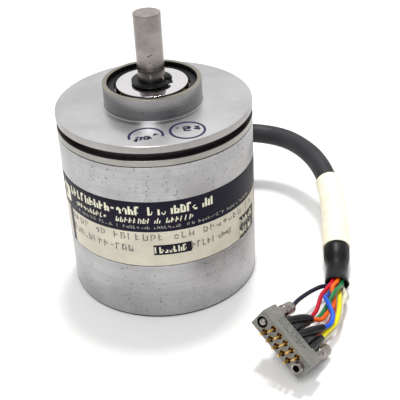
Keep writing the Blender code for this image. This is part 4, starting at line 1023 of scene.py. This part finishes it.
shaftFinish = makeTurnedMetal("groundShaft", (0.32, 0.295, 0.275), (0.21, 0.195, 0.185), 0.24,
                              0.0005, ringTone=0.1, specks=0.12, speckColour=(0.2, 0.18, 0.16),
                              patch=0.005, speck=0.0005, roughSpread=0.14)
shaftEndFinish = makeTurnedMetal("shaftEnd", (0.42, 0.38, 0.36), (0.3, 0.27, 0.25), 0.4, 0.0002,
                                 ringTone=0.14, specks=0.2, speckColour=(0.16, 0.14, 0.13),
                                 patch=0.002, speck=0.0004)
shieldFinish = makeTurnedMetal("polishedShield", (0.86, 0.84, 0.84), (0.8, 0.78, 0.78), 0.1,
                               0.0004, ringTone=0.02, specks=0.03, bump=0.000001, roughSpread=0.04)
ringFinish = makeTurnedMetal("blackedSpring", (0.009, 0.009, 0.011), (0.005, 0.005, 0.007), 0.42,
                             0.0006, specks=0.12, speckColour=(0.08, 0.06, 0.04), metallic=0.2,
                             Specular_IOR_Level=0.3)

shaftSet = {
    "radius": 4.365, "top": 93.0, "ringSeat": 3.965, "ringSeatTop": 71.24, "ringSeatBottom": 70.14,
    "shoulder": 68.99, "collar": 8.0, "collarBottom": 68.34, "journal": 6.35, "journalEnd": 36.3,
    "tail": 5.0, "end": 25.4,
    "pits": [(-94.0, 80.2, 0.3), (-83.0, 80.6, 0.24), (-101.0, 79.0, 0.16), (-92.0, 77.9, 0.2),
             (-84.0, 78.6, 0.14), (-99.0, 81.2, 0.12)],
}


def makeShaft(s):
    corners = [
        (0, s["top"], 0), (s["radius"], s["top"], 0.4), (s["radius"], s["ringSeatTop"], 0.05),
        (s["ringSeat"], s["ringSeatTop"], 0.05), (s["ringSeat"], s["ringSeatBottom"], 0.05),
        (s["radius"], s["ringSeatBottom"], 0.05), (s["radius"], s["shoulder"], 0.1),
        (s["collar"], s["shoulder"], 0.15), (s["collar"], s["collarBottom"], 0.1),
        (s["journal"], s["collarBottom"], 0.05), (s["journal"], s["journalEnd"], 0.2),
        (s["tail"], s["journalEnd"], 0.1), (s["tail"], s["end"], 0.4), (0, s["end"], 0)]
    bm = turnedMesh(corners, 96)
    dents = []
    for bearing, height, size in s["pits"]:
        dent = bmesh.new()
        bmesh.ops.create_icosphere(dent, subdivisions=2, radius=size)
        dents.append(moved(dent, onBearing(bearing)
                           @ Matrix.Translation((s["radius"] + size * 0.3, 0, height))))
    bm = carve(bm, dents)

    def choose(r, z, facing):
        if z > s["top"] - 0.05:
            return 1
        # Faces inside the pits take the painted shade.
        return 2 if r < s["radius"] - 0.012 and s["ringSeatTop"] + 1 < z < s["top"] - 2 else 0

    return addPiece("drivenShaft", colourByPlace(bm, choose), [shaftFinish, shaftEndFinish, holeAndPitShade],
                    "rotor", ["shaft"], sharp=30)


makeShaft(shaftSet)
shieldSet = {"inner": 4.665, "outer": 11.5, "bottom": 69.29, "top": 69.99}
addPiece("shieldDisc", turnedMesh([(shieldSet["inner"], shieldSet["bottom"], 0.1),
                                   (shieldSet["outer"], shieldSet["bottom"], 0.2),
                                   (shieldSet["outer"], shieldSet["top"], 0.12),
                                   (shieldSet["inner"], shieldSet["top"], 0.15)], 144),
         shieldFinish, "rotor", ["dust_shield_disc"])


def snapRing(name, ring, body, node):
    # An open spring ring with a tool hole near each end.
    middle = (ring["inner"] + ring["outer"]) / 2
    bm = turnedMesh([(ring["inner"], ring["bottom"], 0.12), (ring["outer"], ring["bottom"], 0.12),
                     (ring["outer"], ring["top"], 0.12), (ring["inner"], ring["top"], 0.12)],
                    96, arc=ring["arc"])
    holes = [moved(turnedMesh([(0, ring["bottom"] - 1, 0), (ring["hole"], ring["bottom"] - 1, 0),
                               (ring["hole"], ring["top"] + 1, 0), (0, ring["top"] + 1, 0)], 20),
                   onBearing(a) @ Matrix.Translation((middle, 0, 0)))
             for a in (ring["holeInset"], ring["arc"] - ring["holeInset"])]
    bm = carve(bm, holes)
    return addPiece(name, moved(bm, onBearing(ring["start"])), ringFinish, body, [node])


shaftRingSet = {"inner": 4.165, "outer": 6.5, "bottom": 70.29, "top": 71.09,
                "arc": 330.0, "start": 5.0, "hole": 0.5, "holeInset": 10.0}
boreRingSet = {"inner": 12.3, "outer": 14.7475, "bottom": 68.34, "top": 69.34,
               "arc": 344.0, "start": 98.0, "hole": 0.55, "holeInset": 4.0}
snapRing("shaftSnapRing", shaftRingSet, "rotor", "shaft_retaining_ring")
snapRing("boreSnapRing", boreRingSet, "housing", "bore_retaining_ring")
print("shaft and rings turned")


# label, with its bands and boxes

def makePrintFinish(name, colour, worn, amount, roughness, **shaderValues):
    # Printed film whose ink is rubbed thin in small patches.
    material, tree, shader = newMaterial(name, roughness, **shaderValues)
    place = objectPlace(tree)
    spots = useGroup(tree, mottleGroup, place, patchSize=0.008, speckSize=0.0005,
                     speckAmount=amount)
    tone = mixColour(tree, spots["Patches"], colour, tuple(c * 0.86 for c in colour))
    feed(tree, mixColour(tree, spots["Specks"], tone, worn), shader.inputs["Base Color"])
    fine = put(tree, "ShaderNodeTexNoise", {"Vector": place, "Scale": 1600.0, "Detail": 2.0})
    addBump(tree, shader, fine.outputs["Fac"], 0.000005)
    return material


navyFilm = makePrintFinish("navyFilm", (0.005, 0.004, 0.016), (0.035, 0.035, 0.045), 0.18, 0.42,
                           Specular_IOR_Level=0.15)
creamFilm = makePrintFinish("creamFilm", (0.66, 0.62, 0.51), (0.48, 0.44, 0.35), 0.24, 0.46,
                            Specular_IOR_Level=0.2)
paleInk = makePrintFinish("paleInk", (0.8, 0.77, 0.6), (0.5, 0.48, 0.38), 0.3, 0.42)
dimInk = makePrintFinish("dimInk", (0.36, 0.35, 0.3), (0.1, 0.1, 0.1), 0.45, 0.42)
typedInk = makePrintFinish("typedInk", (0.15, 0.135, 0.13), (0.4, 0.37, 0.3), 0.45, 0.5)

labelSet = {
    "radius": 31.8, "thickness": 0.1, "bottom": 20.7, "bandEdge": 33.5, "top": 44.1, "start": 95.0,
    "arc": 330.0,
    # bearings from and to, heights from and to
    "boxes": [(-93.8, -71.9, 24.9, 28.6), (-36.5, -17.0, 24.95, 28.8), (-36.5, -17.0, 20.75, 24.75),
              (-157.0, -152.6, 20.75, 33.45)],
    "badge": (-163.0, -152.9, 35.6, 41.6),
}


def curvedPatch(radius, start, end, low, high, thickness=0.02, step=1.0, corner=0.0):
    # A thin rectangle wrapped on a round side; its corners may be rounded.
    count = max(2, int((end - start) / step))
    bm = bmesh.new()
    columns = []
    for k in range(count + 1):
        a = radians(start + (end - start) * k / count)
        inset = 0.0
        if corner:
            fromEnd = min(k, count - k) / count * radians(end - start) * radius
            if fromEnd < corner:
                inset = corner - (corner ** 2 - (corner - fromEnd) ** 2) ** 0.5
        columns.append([bm.verts.new((r * cos(a), r * sin(a), z))
                        for r in (radius, radius + thickness) for z in (low + inset, high - inset)])
    for one, two in zip(columns, columns[1:]):
        for p, q in ((0, 1), (1, 3), (3, 2), (2, 0)):
            bm.faces.new((one[p], one[q], two[q], two[p]))
    for end in (columns[0], columns[-1]):
        bm.faces.new((end[0], end[1], end[3], end[2]))
    bmesh.ops.recalc_face_normals(bm, faces=bm.faces)
    return bm


def makeLabel(c):
    low, high = c["radius"] - c["thickness"], c["radius"]
    bm = turnedMesh([(low, c["bottom"], 0), (high, c["bottom"], 0.03), (high, c["bandEdge"], 0),
                     (high, c["top"], 0.03), (low, c["top"], 0)], 330, arc=c["arc"])
    moved(bm, onBearing(c["start"]))
    colourByPlace(bm, lambda r, z, facing: 1 if z > c["bandEdge"] else 0)
    label = addPiece("ratingLabel", bm, [creamFilm, navyFilm], "housing", ["label"])
    patches = [curvedPatch(high + 0.005, *box) for box in c["boxes"]]
    boxes = addPiece("labelBoxes", joined(patches), navyFilm, "housing")
    badge = addPiece("labelBadge", curvedPatch(high + 0.005, *c["badge"], step=0.25, corner=1.2),
                     paleInk, "housing")
    return label, boxes, badge


makeLabel(labelSet)


def makeMarkTree():
    # Rows of made-up marks, like print too small to read: stems, bars and open arcs.
    tree = bpy.data.node_groups.new("markRow", "GeometryNodeTree")
    for title, kind, value in (
            ("Count", "NodeSocketInt", 10), ("Length", "NodeSocketFloat", 10.0),
            ("Height", "NodeSocketFloat", 2.0), ("Stroke", "NodeSocketFloat", 0.3),
            ("Gaps", "NodeSocketFloat", 0.15), ("Slant", "NodeSocketFloat", 0.0),
            ("Bend Radius", "NodeSocketFloat", 31.8), ("Start Angle", "NodeSocketFloat", 0.0),
            ("Base Height", "NodeSocketFloat", 0.0), ("Thickness", "NodeSocketFloat", 0.02),
            ("Seed", "NodeSocketInt", 1)):
        tree.interface.new_socket(title, in_out="INPUT", socket_type=kind).default_value = value
    tree.interface.new_socket("Ink", in_out="INPUT", socket_type="NodeSocketMaterial")
    tree.interface.new_socket("Geometry", in_out="OUTPUT", socket_type="NodeSocketGeometry")
    start = tree.nodes.new("NodeGroupInput").outputs

    def times(a, b):
        return calc(tree, "MULTIPLY", a, b)

    def vector(x=0.0, y=0.0, z=0.0):
        return put(tree, "ShaderNodeCombineXYZ", {"X": x, "Y": y, "Z": z}).outputs[0]

    def chance(number, share):
        seed = calc(tree, "ADD", start["Seed"], float(number))
        node = put(tree, "FunctionNodeRandomValue", data_type="BOOLEAN")
        feed(tree, share, next(s for s in node.inputs if s.identifier == "Probability"))
        feed(tree, seed, next(s for s in node.inputs if s.identifier == "Seed"))
        return next(s for s in node.outputs if s.identifier == "Value_003")

    def between(number, low, high):
        seed = calc(tree, "ADD", start["Seed"], float(number))
        node = put(tree, "FunctionNodeRandomValue", data_type="FLOAT")
        feed(tree, low, next(s for s in node.inputs if s.identifier == "Min_001"))
        feed(tree, high, next(s for s in node.inputs if s.identifier == "Max_001"))
        feed(tree, seed, next(s for s in node.inputs if s.identifier == "Seed"))
        return next(s for s in node.outputs if s.identifier == "Value_001")

    pitch = calc(tree, "DIVIDE", start["Length"], start["Count"])
    line = put(tree, "GeometryNodeMeshLine", {"Count": start["Count"], "Offset": vector(pitch)})
    kept = put(tree, "GeometryNodeDeleteGeometry",
               {"Geometry": line.outputs[0], "Selection": chance(1, start["Gaps"])})
    block = put(tree, "GeometryNodeMeshCube", {"Size": (1.0, 1.0, 1.0)}).outputs["Mesh"]
    height, stroke = start["Height"], start["Stroke"]
    width = calc(tree, "MINIMUM", times(pitch, 0.62), times(height, 0.62))
    rows = tree.nodes.new("GeometryNodeJoinGeometry")

    def strokes(number, share, across, up, wide, tall, shape=block, turn=None):
        shift = put(tree, "GeometryNodeSetPosition",
                    {"Geometry": kept.outputs[0], "Offset": vector(across, up)})
        inputs = {"Points": shift.outputs[0], "Instance": shape, "Selection": chance(number, share),
                  "Scale": vector(wide, tall, start["Thickness"])}
        if turn is not None:
            inputs["Rotation"] = vector(0.0, 0.0, turn)
        row = put(tree, "GeometryNodeInstanceOnPoints", inputs)
        tree.links.new(row.outputs[0], rows.inputs[0])

    half = times(height, 0.5)
    side = times(width, 0.5)
    strokes(2, 0.62, calc(tree, "MULTIPLY", side, -0.85), half, stroke, height)
    tall = times(height, between(3, 0.45, 0.8))
    strokes(4, 0.42, times(side, 0.85), times(tall, 0.5), stroke, tall)
    level = times(height, calc(tree, "SNAP", between(5, 0.05, 0.99), 0.42))
    strokes(6, 0.55, 0.0, calc(tree, "ADD", level, times(stroke, 0.5)), times(width, 0.8), stroke)
    circle = put(tree, "GeometryNodeCurveArc", {"Resolution": 9, "Radius": 1.0,
                                                "Sweep Angle": radians(200)})
    section = put(tree, "GeometryNodeCurvePrimitiveQuadrilateral", {"Width": 0.5, "Height": 1.0})
    arc = put(tree, "GeometryNodeCurveToMesh", {"Curve": circle.outputs["Curve"],
                                                "Profile Curve": section.outputs[0],
                                                "Fill Caps": True}).outputs[0]
    bowl = times(width, 0.42)
    strokes(7, 0.6, 0.0, times(height, between(8, 0.33, 0.6)), bowl, times(height, 0.28), arc,
            times(calc(tree, "SNAP", between(9, 0.0, 3.99), 1.0), pi / 2))
    real = put(tree, "GeometryNodeRealizeInstances", {"Geometry": rows.outputs[0]})
    here = put(tree, "ShaderNodeSeparateXYZ",
               {"Vector": put(tree, "GeometryNodeInputPosition").outputs[0]}).outputs
    leaned = calc(tree, "ADD", here["X"], times(here["Y"], start["Slant"]))
    angle = calc(tree, "ADD", start["Start Angle"], calc(tree, "DIVIDE", leaned, start["Bend Radius"]))
    out = calc(tree, "ADD", start["Bend Radius"], here["Z"])
    wrapped = vector(times(out, calc(tree, "COSINE", angle)), times(out, calc(tree, "SINE", angle)),
                     calc(tree, "ADD", here["Y"], start["Base Height"]))
    bent = put(tree, "GeometryNodeSetPosition", {"Geometry": real.outputs[0], "Position": wrapped})
    dressed = put(tree, "GeometryNodeSetMaterial",
                  {"Geometry": bent.outputs[0], "Material": start["Ink"]})
    end = tree.nodes.new("NodeGroupOutput")
    tree.links.new(dressed.outputs[0], end.inputs[0])
    return tree


markTree = makeMarkTree()
# bearing from and to, foot and head height, letters, stroke, gaps, slant, seed, ink
printSet = {
    "headline": (-149.0, -49.9, 39.75, 42.7, 27, 0.68, 0.08, 0.0, 11, paleInk),
    "subline": (-148.0, -69.0, 36.75, 38.6, 30, 0.36, 0.12, 0.25, 24, paleInk),
    "smallLine": (-147.0, -25.0, 34.75, 35.85, 62, 0.2, 0.16, 0.0, 37, dimInk),
    "typedOne": (-150.5, -19.0, 30.4, 32.8, 30, 0.36, 0.05, 0.0, 41, typedInk),
    "typedTwo": (-151.0, -103.0, 26.0, 28.4, 12, 0.36, 0.04, 0.0, 53, typedInk),
    "boxedMark": (-92.2, -73.4, 25.6, 27.9, 7, 0.5, 0.1, 0.0, 67, paleInk),
    "typedThree": (-70.6, -41.4, 25.7, 28.1, 9, 0.36, 0.0, 0.0, 71, typedInk),
    "endBoxUpper": (-35.0, -18.0, 25.6, 28.1, 5, 0.5, 0.0, 0.0, 83, paleInk),
    "endBoxLower": (-35.0, -18.0, 21.5, 24.0, 5, 0.5, 0.0, 0.0, 97, paleInk),
    "badgeMark": (-161.0, -155.0, 36.8, 40.4, 2, 0.7, 0.0, 0.0, 101, navyFilm),
    "typedFour": (-12.0, 8.0, 30.4, 32.8, 6, 0.36, 0.0, 0.0, 113, typedInk),
}


def makePrint(rows, radius):
    meshes, inks = [], []
    for start, end, foot, head, count, stroke, gaps, slant, seed, ink in rows.values():
        bm = grownMesh(markTree, {
            "Count": count, "Length": radians(end - start) * radius, "Height": head - foot,
            "Stroke": stroke, "Gaps": gaps, "Slant": slant, "Bend Radius": radius,
            "Start Angle": radians(start), "Base Height": foot, "Seed": seed, "Ink": ink})
        if ink not in inks:
            inks.append(ink)
        for face in bm.faces:
            face.material_index = inks.index(ink)
        meshes.append(bm)
    return addPiece("labelPrint", joined(meshes), inks, "housing", sharp=20)


makePrint(printSet, labelSet["radius"] + 0.045)
print("label printed")


# small print along the connector's upper face

connectorInk = makePrintFinish("connectorInk", (0.012, 0.012, 0.014), (0.1, 0.1, 0.09), 0.14,
                               0.5)
connectorPrintSet = {
    # distances along it from and to, distance behind the mating face, height, count, seed
    "rows": [(-6.3, 4.6, 2.1, 0.75, 20, 131), (-5.9, 5.6, 3.6, 0.75, 22, 139),
             (-6.1, 3.9, 5.1, 0.75, 18, 149)],
    "stroke": 0.17, "gaps": 0.12, "straightRadius": 2000.0, "lift": 0.012,
}


def makeConnectorPrint(p):
    reach = p["straightRadius"]
    meshes = []
    for start, end, back, height, count, seed in p["rows"]:
        meshes.append(grownMesh(markTree, {
            "Count": count, "Length": end - start, "Height": height, "Stroke": p["stroke"],
            "Gaps": p["gaps"], "Slant": 0.0, "Bend Radius": reach, "Start Angle": start / reach,
            "Base Height": back, "Seed": seed,
            "Ink": connectorInk}))
    flat = Matrix(((0, 1, 0, 0), (1, 0, 0, 0), (0, 0, -1, 0), (0, 0, 0, 1)))
    place = (connectorTurn @ Matrix.Translation((0, connectorSet["height"] / 2 + p["lift"], 0))
             @ flat @ Matrix.Translation((-reach, 0, 0)))
    return addPiece("connectorPrint", moved(joined(meshes), place), connectorInk, "housing",
                    sharp=20)


makeConnectorPrint(connectorPrintSet)


# inspection stamps on the mounting face

stampInk = makePrintFinish("stampInk", (0.004, 0.004, 0.05), (0.06, 0.06, 0.18), 0.14, 0.4)

stampSet = {
    "height": 63.5, "thickness": 0.03, "line": 0.8,
    # centre, radius, arc from and to, then strokes inside it as short runs of points
    "stamps": [
        ((-1.9, -24.9), 5.1, (-8.0, 200.0),
         [[(-3.4, -2.9), (-2.5, -1.6), (-2.9, -3.4)], [(-1.9, -1.2), (-1.0, -0.6), (-1.7, -2.6)],
          [(-0.2, -0.3), (1.1, -0.5), (0.9, -2.1), (-0.5, -2.0), (-0.2, -0.3)],
          [(0.2, -1.2), (1.9, -1.5)], [(2.2, 0.2), (3.1, 0.9)], [(2.4, 1.1), (3.5, 0.5)],
          [(-3.1, -1.1), (-2.0, -0.4)]]),
        ((10.6, -22.5), 5.25, (0.0, 360.0),
         [[(-1.2, 2.1), (0.6, 2.4), (0.8, 1.1), (-1.0, 0.8), (-1.2, 2.1)],
          [(-1.0, 0.8), (-0.7, -0.4), (1.1, -0.1)], [(0.0, 1.0), (0.2, 2.2)],
          [(2.0, 2.3), (3.5, 2.2), (2.2, 0.8)], [(2.0, 0.9), (3.7, 0.2), (3.4, 1.4)],
          [(-3.4, 1.6), (-2.8, 1.8)]]),
    ],
}


def flatStroke(points, width, height, thickness):
    # A thin inked line through flat points, with a point's join closed by its neighbours.
    bm = bmesh.new()
    pts = [Vector((*p, 0)) for p in points]
    rings = []
    for k, p in enumerate(pts):
        before = pts[max(k - 1, 0)]
        after = pts[min(k + 1, len(pts) - 1)]
        ahead = (after - before).normalized()
        side = Vector((-ahead.y, ahead.x, 0)) * width / 2
        rings.append([bm.verts.new(p + s * side + Vector((0, 0, z)))
                      for s, z in ((-1, height), (1, height), (1, height + thickness),
                                   (-1, height + thickness))])
    for one, two in zip(rings, rings[1:]):
        for k in range(4):
            n = (k + 1) % 4
            bm.faces.new((one[k], one[n], two[n], two[k]))
    bm.faces.new(rings[0])
    bm.faces.new(list(reversed(rings[-1])))
    bmesh.ops.recalc_face_normals(bm, faces=bm.faces)
    return bm


def makeStamps(s):
    meshes = []
    for (x, y), radius, (first, last), marks in s["stamps"]:
        count = int((last - first) / 4)
        arc = []
        for k in range(count + 1):
            a = radians(first + (last - first) * k / count)
            arc.append((x + radius * cos(a), y + radius * sin(a)))
        meshes.append(flatStroke(arc, s["line"], s["height"] + 0.01, s["thickness"]))
        for mark in marks:
            run = [(x + px, y + py) for px, py in mark]
            for a, b in zip(run, run[1:]):
                meshes.append(flatStroke([a, b], s["line"] * 0.85, s["height"] + 0.01, s["thickness"]))
    return addPiece("faceStamps", joined(meshes), stampInk, "housing")


makeStamps(stampSet)


# cover screws, one turned screw put at three bearings

screwSet = {"bearings": (30.0, 150.0, 270.0), "circle": 24.5, "shank": 1.5, "top": 9.0,
            "headTop": 2.1, "headRadius": 3.0, "headBottom": 0.3, "socket": 1.4, "socketDepth": 1.0}
screwFinish = makeTurnedMetal("screwSteel", (0.3, 0.29, 0.28), (0.2, 0.19, 0.19), 0.34, 0.0004,
                              specks=0.2, patch=0.003, speck=0.0003)


def makeScrewTree(screw, material):
    tree = bpy.data.node_groups.new("screwCircle", "GeometryNodeTree")
    for title, kind, value in (("Count", "NodeSocketInt", 3), ("Circle Radius", "NodeSocketFloat", 24.5),
                               ("First Angle", "NodeSocketFloat", 0.0)):
        tree.interface.new_socket(title, in_out="INPUT", socket_type=kind).default_value = value
    tree.interface.new_socket("Geometry", in_out="OUTPUT", socket_type="NodeSocketGeometry")
    start = tree.nodes.new("NodeGroupInput").outputs
    source = put(tree, "GeometryNodeObjectInfo", {"Object": screw})
    points = put(tree, "GeometryNodePoints", {"Count": start["Count"]})
    index = put(tree, "GeometryNodeInputIndex").outputs[0]
    angle = calc(tree, "ADD", start["First Angle"],
                 calc(tree, "DIVIDE", calc(tree, "MULTIPLY", index, 2 * pi), start["Count"]))
    spot = put(tree, "ShaderNodeCombineXYZ",
               {"X": calc(tree, "MULTIPLY", start["Circle Radius"], calc(tree, "COSINE", angle)),
                "Y": calc(tree, "MULTIPLY", start["Circle Radius"], calc(tree, "SINE", angle))})
    spread = put(tree, "GeometryNodeSetPosition",
                 {"Geometry": points.outputs[0], "Position": spot.outputs[0]})
    screws = put(tree, "GeometryNodeInstanceOnPoints",
                 {"Points": spread.outputs[0], "Instance": source.outputs["Geometry"]})
    real = put(tree, "GeometryNodeRealizeInstances", {"Geometry": screws.outputs[0]})
    dressed = put(tree, "GeometryNodeSetMaterial", {"Geometry": real.outputs[0], "Material": material})
    end = tree.nodes.new("NodeGroupOutput")
    tree.links.new(dressed.outputs[0], end.inputs[0])
    return tree


def makeScrews(s):
    corners = [(0, s["top"], 0), (s["shank"] - 0.2, s["top"], 0.1)]
    z = s["top"] - 0.3
    while z > s["headTop"] + 0.9:
        corners += [(s["shank"], z, 0.03), (s["shank"] - 0.18, z - 0.25, 0.03)]
        z -= 0.5
    corners += [(s["shank"], z, 0.03), (s["shank"], s["headTop"], 0.05),
                (s["headRadius"], s["headTop"], 0.08), (s["headRadius"], s["headBottom"], 0.3),
                (0, s["headBottom"], 0)]
    bm = turnedMesh(corners, 40)
    hexagon = turnedMesh([(0, s["headBottom"] - 1, 0), (s["socket"], s["headBottom"] - 1, 0),
                          (s["socket"], s["headBottom"] + s["socketDepth"], 0),
                          (0, s["headBottom"] + s["socketDepth"], 0)], 6)
    bm = carve(bm, [hexagon])
    mesh = bpy.data.meshes.new("oneScrew")
    bm.to_mesh(mesh)
    bm.free()
    screw = bpy.data.objects.new("oneScrew", mesh)
    bpy.context.collection.objects.link(screw)
    tree = makeScrewTree(screw, screwFinish)
    bm = grownMesh(tree, {"Count": len(s["bearings"]), "Circle Radius": s["circle"],
                          "First Angle": radians(s["bearings"][0])})
    bpy.data.objects.remove(screw)
    return addPiece("coverScrews", bm, screwFinish, "housing",
                    [f"cover_screw_{k + 1}" for k in range(len(s["bearings"]))])


makeScrews(screwSet)
print("stamps and screws made")


# the pieces inside keep their own shapes and get finishes

brassFinish = makeTurnedMetal("turnedBrass", (0.75, 0.52, 0.2), (0.6, 0.4, 0.14), 0.3, 0.0004,
                              specks=0.12, patch=0.004, speck=0.0005)
raceFinish = makeTurnedMetal("groundRace", (0.56, 0.55, 0.54), (0.42, 0.41, 0.4), 0.2, 0.0003,
                             specks=0.08, patch=0.004, speck=0.0004)
hubFinish = makeTurnedMetal("turnedHub", (0.72, 0.71, 0.7), (0.6, 0.59, 0.58), 0.32, 0.0003)
boardFinish = makeFinish("boardResist", (0.012, 0.13, 0.045), (0.008, 0.085, 0.03), 0.4,
                         patch=0.005, speck=0.0012, specks=0.34, speckColour=(0.5, 0.42, 0.2),
                         bump=0.00004)
blackMould = makeFinish("blackMoulding", (0.022, 0.022, 0.024), (0.013, 0.013, 0.014), 0.5,
                        patch=0.004, speck=0.0004, specks=0.2, speckColour=(0.05, 0.05, 0.05),
                        bump=0.00004)
whiteMould = makeFinish("whiteMoulding", (0.72, 0.7, 0.62), (0.62, 0.6, 0.52), 0.48, patch=0.004,
                        speck=0.0005, specks=0.16, speckColour=(0.4, 0.38, 0.3), bump=0.00003)
glassFinish = makeTurnedMetal("patternedGlass", (0.2, 0.24, 0.24), (0.12, 0.15, 0.15), 0.08,
                              0.0002, ringTone=0.3, metallic=0.2, specks=0.1, Coat_Weight=0.5,
                              Coat_Roughness=0.03)
lampFinish = makeFinish("lampResin", (0.5, 0.52, 0.6), (0.4, 0.42, 0.5), 0.1, patch=0.002,
                        speck=0.0003, Coat_Weight=0.6, Coat_Roughness=0.04)

insideSet = {
    "raceFinish": ("front_bearing_outer_ring", "front_bearing_inner_ring",
                   "rear_bearing_outer_ring", "rear_bearing_inner_ring", "wave_spring",
                   "outer_spacer", "inner_spacer"),
    "brassFinish": ("front_bearing_ball_cage", "rear_bearing_ball_cage", "upper_post_1",
                    "upper_post_2", "upper_post_3", "lower_post_1", "lower_post_2", "lower_post_3"),
    "hubFinish": ("code_disc_hub", "code_disc_clamp"),
    "glassFinish": ("code_disc",),
    "boardFinish": ("main_board", "detector_board"),
    "blackMould": ("optical_head_frame", "reticle_mask"),
    "whiteMould": ("lead_header",),
    "lampFinish": ("lamp",),
    "rubberFinish": ("cover_o_ring",),
}
insideFinishes = {"raceFinish": raceFinish, "brassFinish": brassFinish, "hubFinish": hubFinish,
                  "glassFinish": glassFinish, "boardFinish": boardFinish, "blackMould": blackMould,
                  "whiteMould": whiteMould, "lampFinish": lampFinish, "rubberFinish": rubberFinish}
for finishName, nodeNames in insideSet.items():
    for nodeName in nodeNames:
        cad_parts[nodeName].material_slots[0].material = insideFinishes[finishName]
left = [name for name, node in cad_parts.items()
        if not node.hide_render and name not in [n for group in insideSet.values() for n in group]]
print("inside dressed, without a finish:", left)


# floor and studio light

studioSet = {
    "floor": (0.9, 0.9, 0.9), "floorSize": 6.0,
    # sky towards the viewer's side, and towards the far side
    "front": (0.36, 0.355, 0.355), "back": (0.9, 0.9, 0.9), "worldStrength": 1.0,
    # bearing, elevation, distance, width, power, colour
    "lights": {
        "overhead": (77.0, 75.0, 1.0, 0.17, 6.0, (1.0, 0.99, 0.97)),
        "frontFill": (-104.0, 52.0, 1.0, 0.4, 4.2, (1.0, 1.0, 1.0)),
    },
}


def makeStudio(s):
    bm = bmesh.new()
    bmesh.ops.create_grid(bm, x_segments=2, y_segments=2, size=s["floorSize"] / 2)
    mesh = bpy.data.meshes.new("floor")
    bm.to_mesh(mesh)
    bm.free()
    floor = bpy.data.objects.new("floor", mesh)
    floor.location.z = cadLow[2] - 0.0001
    bpy.context.collection.objects.link(floor)
    material, _, _ = newMaterial("paperSweep", 0.8, colour=s["floor"])
    mesh.materials.append(material)
    world = bpy.data.worlds.new("studio")
    bpy.context.scene.world = world
    world.use_nodes = True
    background = world.node_tree.nodes["Background"]
    sky = world.node_tree
    towards = put(sky, "ShaderNodeSeparateXYZ",
                  {"Vector": put(sky, "ShaderNodeTexCoord").outputs["Generated"]})
    share = remap(sky, towards.outputs["Y"], -0.8, 0.8)
    feed(sky, mixColour(sky, share, s["front"], s["back"]), background.inputs["Color"])
    background.inputs["Strength"].default_value = s["worldStrength"]
    for name, (bearing, rise, distance, wide, power, colour) in s["lights"].items():
        flat = distance * cos(radians(rise))
        place = Vector((flat * cos(radians(bearing)), flat * sin(radians(bearing)),
                        distance * sin(radians(rise))))
        data = bpy.data.lights.new(name, "AREA")
        data.shape = "DISK"
        data.size = wide
        data.energy = power
        data.color = colour
        lamp = bpy.data.objects.new(name, data)
        bpy.context.collection.objects.link(lamp)
        lamp.location = place
        lamp.rotation_euler = (-place).to_track_quat("-Z", "Y").to_euler()


makeStudio(studioSet)
bpy.context.scene.view_settings.view_transform = "Standard"

bpy.context.view_layer.update()
print("studio set")
